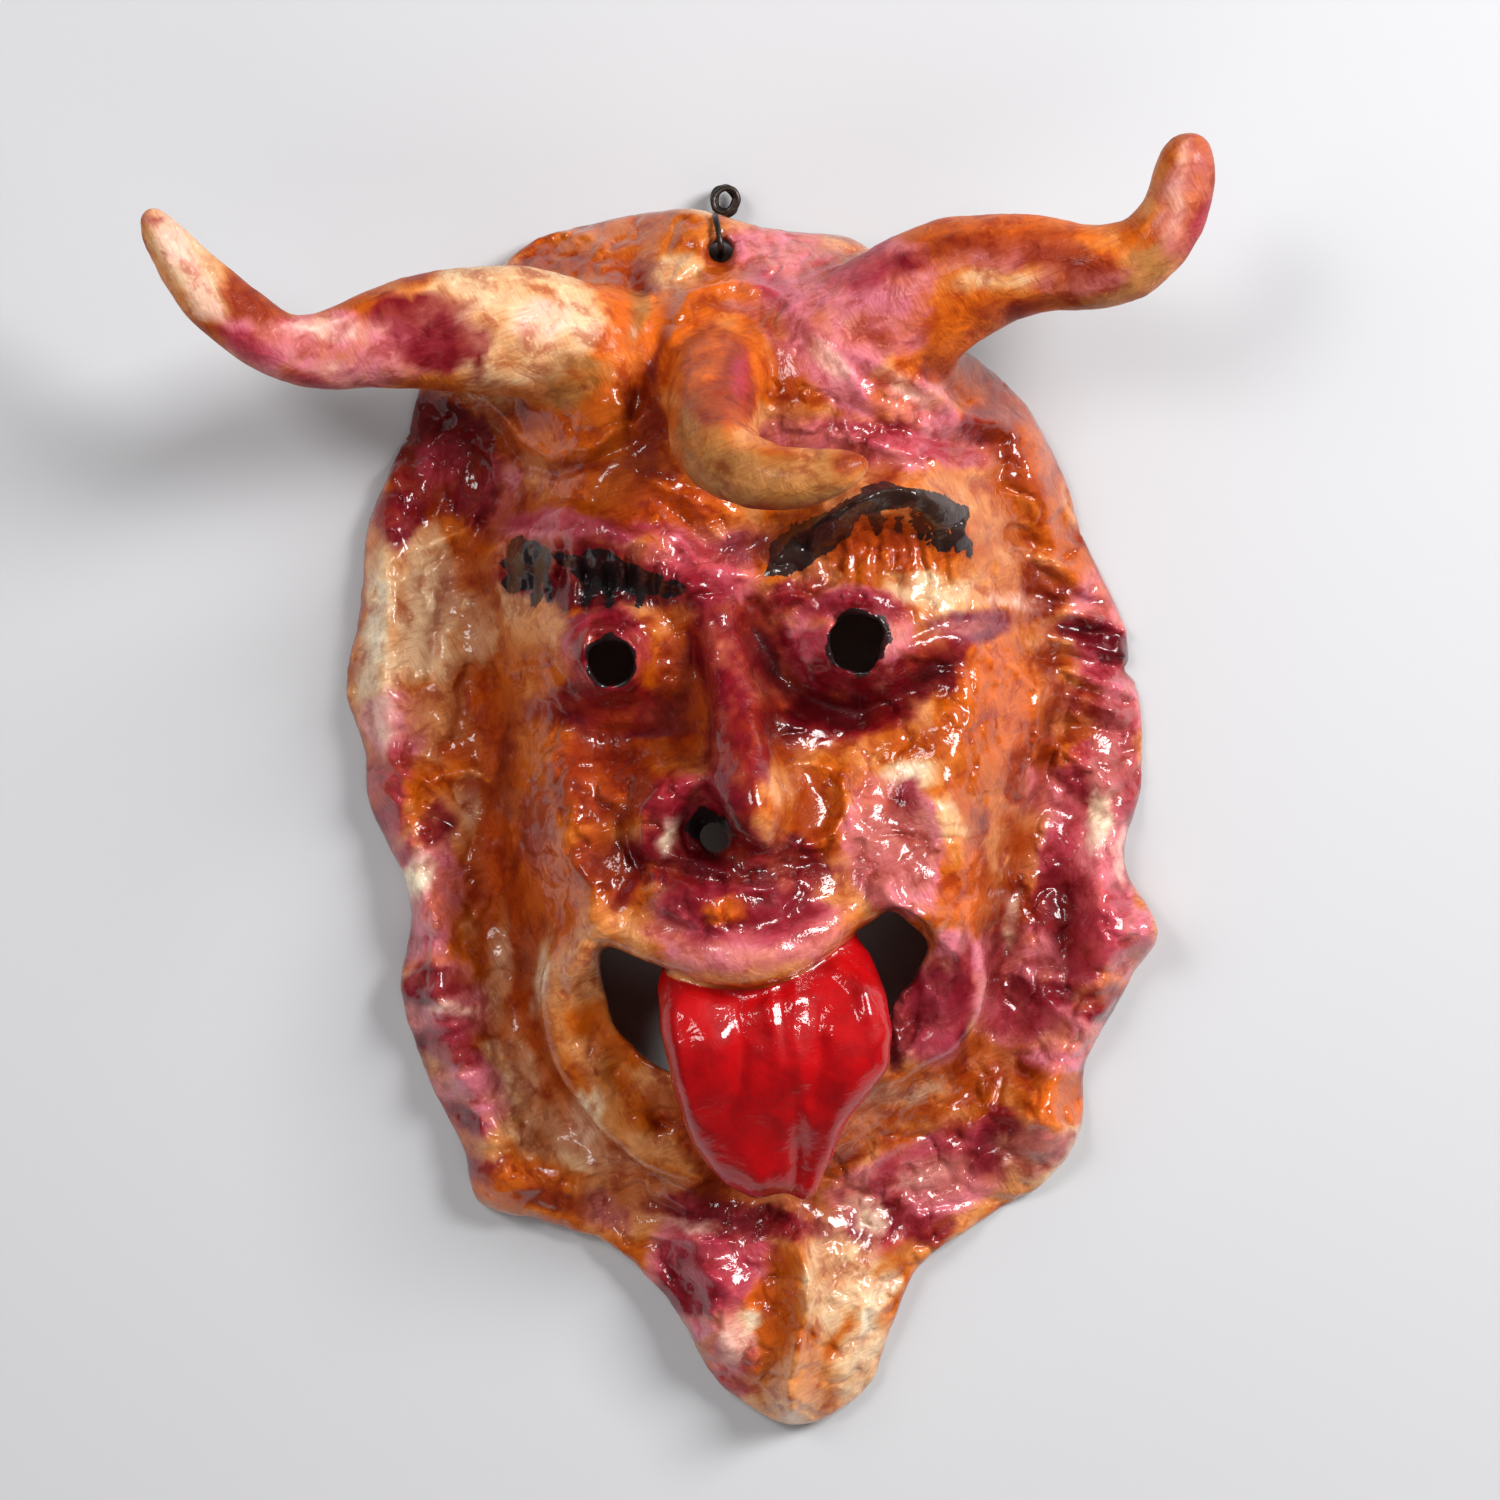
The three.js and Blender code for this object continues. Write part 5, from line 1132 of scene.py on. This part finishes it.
def glazed_clay():
    """Brushed glazes under a glassy coat, with black brows, a red tongue, and bare clay behind."""
    p = Paint("glazed_clay")
    blotches = p.noise(7, 4, distortion=0.5)
    grain = p.noise(1.8, 4)
    fine = p.noise(0.7, 3)
    broad = p.noise(26, 2)
    # Brush marks run one way here and another there.
    strokes_a = p.noise(0.6, 4, stretch=(9, 1, 5), turn=20, distortion=0.3)
    strokes_b = p.noise(0.6, 4, stretch=(9, 1, 5), turn=-62, distortion=0.3)
    which = p.ramp(broad, 0.46, 0.54)
    brush = p.calc("ADD", p.calc("MULTIPLY", strokes_a, which),
                   p.calc("MULTIPLY", strokes_b, p.calc("SUBTRACT", 1.0, which)))

    glaze = p.node("ShaderNodeAttribute", {}, "Color", attribute_name="glaze")
    crest = p.attribute("crest")
    pooled_glaze_and_shade = p.attribute("pooled_glaze_and_shade")

    # Thin glaze lets the pale clay through along brush marks and crests, and deepens where it pools;
    # that darkening of hollows and creases is also painted shade.
    deep = p.mix(1.0, glaze, linear(200, 140, 124), "MULTIPLY")
    thin = p.mix(1.0, glaze, (1.35, 1.45, 1.5, 1), "MULTIPLY")
    color = p.mix(p.ramp(brush, 0.34, 0.5, 0.36, 0.0), glaze, deep)
    color = p.mix(p.ramp(brush, 0.54, 0.68, 0.0, 0.3), color, thin)
    color = p.mix(p.ramp(blotches, 0.46, 0.68, 0.0, 0.85), color, deep)
    color = p.mix(p.ramp(grain, 0.56, 0.7, 0.0, 0.5), color, thin)
    # Darker where the glaze pools in hollows and creases: pooled glaze and painted shade.
    pooled_and_shaded_color = p.mix(1.0, color, linear(190, 118, 96), "MULTIPLY")
    color = p.mix(p.ramp(pooled_glaze_and_shade, 0.05, 0.8, 0.0, 0.6), color, pooled_and_shaded_color)
    worn = p.calc("MULTIPLY", p.ramp(crest, 0.15, 0.7), p.ramp(grain, 0.4, 0.6, 0.4, 1.0))
    color = p.mix(p.calc("MULTIPLY", worn, 0.6), color, thin)

    loose = p.calc("ADD", p.attribute("black"), p.calc("MULTIPLY", p.calc("SUBTRACT", brush, 0.5), 0.7))
    black = p.ramp(loose, 0.22, 0.36)
    color = p.mix(p.calc("MULTIPLY", black, 0.96), color, linear(24, 21, 22))
    red = p.mix(p.ramp(blotches, 0.35, 0.75), linear(184, 1, 8), linear(150, 1, 7))
    tongue = p.ramp(p.attribute("tongue"), 0.42, 0.58)
    color = p.mix(tongue, color, red)
    clay = p.mix(p.ramp(grain, 0.3, 0.7), linear(188, 126, 88), linear(160, 98, 66))
    bare = p.ramp(p.attribute("bare"), 0.42, 0.58)
    color = p.mix(bare, color, clay)

    satin = p.calc("MULTIPLY", p.attribute("satin"), p.calc("SUBTRACT", 1.0, tongue))
    dull = p.calc("MAXIMUM", satin, bare)
    roughness = p.ramp(dull, 0, 1, 0.4, 0.45)
    roughness = p.calc("ADD", roughness, p.calc("MULTIPLY", fine, 0.12))
    coat = p.ramp(dull, 0, 1, 1.0, 0.15)

    relief = p.calc("ADD", p.calc("MULTIPLY", brush, 0.4), p.calc("MULTIPLY", grain, 0.6))
    # Sharp little wrinkles, where the clay was pinched and smeared.
    pinched = p.calc("ABSOLUTE", p.calc("SUBTRACT", p.noise(8, 4, distortion=1.0), 0.5))
    relief = p.calc("ADD", relief, p.calc("MULTIPLY", pinched, p.ramp(tongue, 0, 1, 5.5, 1.5)))
    wavy = p.calc("ADD", blotches, p.calc("MULTIPLY", grain, 0.06))
    wavy = p.calc("ADD", wavy, p.calc("MULTIPLY", pinched, 0.9))
    p.set(Base_Color=color, Roughness=roughness, Normal=p.bump(relief, 0.16), Coat_Weight=coat,
          Coat_Roughness=0.03, Coat_IOR=1.45, Coat_Normal=p.bump(wavy, 0.42), Specular_IOR_Level=0.15)
    return p.material


def dark_steel():
    """Dark annealed wire with a little rust."""
    p = Paint("dark_steel")
    rust = p.noise(1.4, 4)
    color = p.mix(p.ramp(rust, 0.4, 0.7), linear(74, 66, 62), linear(52, 36, 28))
    roughness = p.ramp(rust, 0.3, 0.7, 0.32, 0.5)
    p.set(Base_Color=color, Metallic=0.85, Roughness=roughness, Normal=p.bump(rust, 0.08))
    return p.material


mask.data.materials.append(glazed_clay())
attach(mask, "root")
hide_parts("mask")

# The wire: up through the hole, over the crown and down behind it, where it is wound into an eye.
WIRE_RADIUS = 0.75
EYE_RADIUS = 3.2
EYE_STEPS = 27
STEPS_A_TURN = 8
LOOSE = 0.45
RISE_A_STEP = 0.24
WIRE_MARGIN = 1.6
OFF_CLAY = 0.35
EYE_STRETCH = 1.15


def front_at(x, y):
    """Height of the mask's front, in millimetres, at a place."""
    i, j = round((x - low[0]) / CELL), round((y - low[1]) / CELL)
    return float(FRONT[i, j])


def tube(name, points, radius, sides=12):
    """A round wire along a smooth curve through points in millimetres."""
    path = bpy.data.curves.new(name, "CURVE")
    path.dimensions = "3D"
    path.bevel_depth = radius * METRES
    path.bevel_resolution = sides // 4
    path.use_fill_caps = True
    line = path.splines.new("POLY")
    smooth = open_curve(points, 8)
    line.points.add(len(smooth) - 1)
    for point, place in zip(line.points, smooth):
        point.co = (*(place * METRES), 1)
    shaped = bpy.data.objects.new(name, path)
    bpy.context.scene.collection.objects.link(shaped)
    evaluated = shaped.evaluated_get(bpy.context.evaluated_depsgraph_get())
    made = bpy.data.objects.new(name, bpy.data.meshes.new_from_object(evaluated))
    bpy.context.scene.collection.objects.link(made)
    bpy.data.objects.remove(shaped)
    made.data.shade_smooth()
    return made


hole = Vector((CROWN_HOLE[0] * SHARE + DESIGN_MIDDLE[0], CROWN_HOLE[1] * SHARE, 0))
behind = wire_low[2] + WIRE_MARGIN
eye = Vector((hole.x + 1.0, wire_high[1] - EYE_RADIUS - WIRE_MARGIN, behind))
edge_y = max(Y_LINE[field[round((hole.x - low[0]) / CELL), :, round((6 - low[2]) / CELL)] < 0])
clear = WIRE_RADIUS + OFF_CLAY
route = [
    (hole.x - 0.4, hole.y + 0.4, behind + 1),
    (hole.x, hole.y + 0.4, (behind + front_at(hole.x, hole.y)) / 2),
    (hole.x, hole.y + 0.8, front_at(hole.x, hole.y) + clear),
    (hole.x - 0.6, (hole.y + edge_y) / 2, front_at(hole.x, (hole.y + edge_y) / 2) + clear + 0.5),
    (hole.x - 1.2, edge_y - 1.5, front_at(hole.x, edge_y - 1.5) + clear),
    (hole.x - 1.2, edge_y + clear, 5.0),
    (hole.x - 0.6, edge_y + clear, behind + 0.4),
    (eye.x - 1.0, eye.y - EYE_RADIUS, behind),
]
for k in range(1, EYE_STEPS):
    angle = -math.pi / 2 + k * math.tau / STEPS_A_TURN
    radius = EYE_RADIUS - LOOSE * (1 + math.sin(1.3 * k))
    turned = (eye.x + radius * math.cos(angle), eye.y + EYE_STRETCH * radius * math.sin(angle))
    route.append((*turned, behind + RISE_A_STEP * k))
wire = tube("twisted_wire", route, WIRE_RADIUS)
wire.data.materials.append(dark_steel())
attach(wire, "root")
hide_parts("hanging_wire")

# A plain pale floor, and light as from a large window to the upper right and a smaller one to the left.
bpy.ops.mesh.primitive_plane_add(size=6, location=(0, 0, 0))
floor = bpy.context.object
floor.name = "floor"
floor_paint = Paint("floor")
floor_paint.set(Base_Color=linear(200, 200, 202), Roughness=0.75, Specular_IOR_Level=0.2)
floor.data.materials.append(floor_paint.material)

# The place that the lights are aimed at, in metres.
LIT_PLACE = (0, 0, 0.03)


def window(name, place, size, power, in_glaze):
    """A rectangle of light aimed at the mask, mirrored in the glaze or not."""
    lamp = bpy.data.lights.new(name, "AREA")
    lamp.shape = "RECTANGLE"
    lamp.size, lamp.size_y = size
    lamp.energy = power
    made = bpy.data.objects.new(name, lamp)
    made.location = place
    made.rotation_euler = (Vector(LIT_PLACE) - Vector(place)).to_track_quat("-Z", "Y").to_euler()
    made.visible_glossy = in_glaze
    bpy.context.scene.collection.objects.link(made)


window("daylight", (0.85, 0.5, 0.85), (0.42, 0.56), 20, True)
window("daylight_left", (-0.8, 0.4, 1.1), (0.9, 0.7), 5.5, False)
window("daylight_below", (0.1, -0.9, 1.0), (1.0, 0.7), 3.5, False)
window("pane_left", (-0.5, 0.45, 1.2), (0.26, 0.4), 4, True)

world = bpy.data.worlds.new("room")
world.use_nodes = True
world.node_tree.nodes["Background"].inputs["Color"].default_value = (0.9, 0.92, 0.95, 1)
world.node_tree.nodes["Background"].inputs["Strength"].default_value = 0.06
bpy.context.scene.world = world

SENSOR = 36.0
lens = bpy.data.cameras.new("camera")
lens.sensor_width = SENSOR
lens.lens = SENSOR * CAMERA_HEIGHT / (2 * PHOTO_MIDDLE * PIXEL)
camera = bpy.data.objects.new("camera", lens)
camera.location = (CAMERA_OVER[0] * METRES, CAMERA_OVER[1] * METRES, CAMERA_HEIGHT * METRES)
bpy.context.scene.collection.objects.link(camera)
bpy.context.scene.camera = camera
bpy.context.scene.view_settings.view_transform = "Standard"
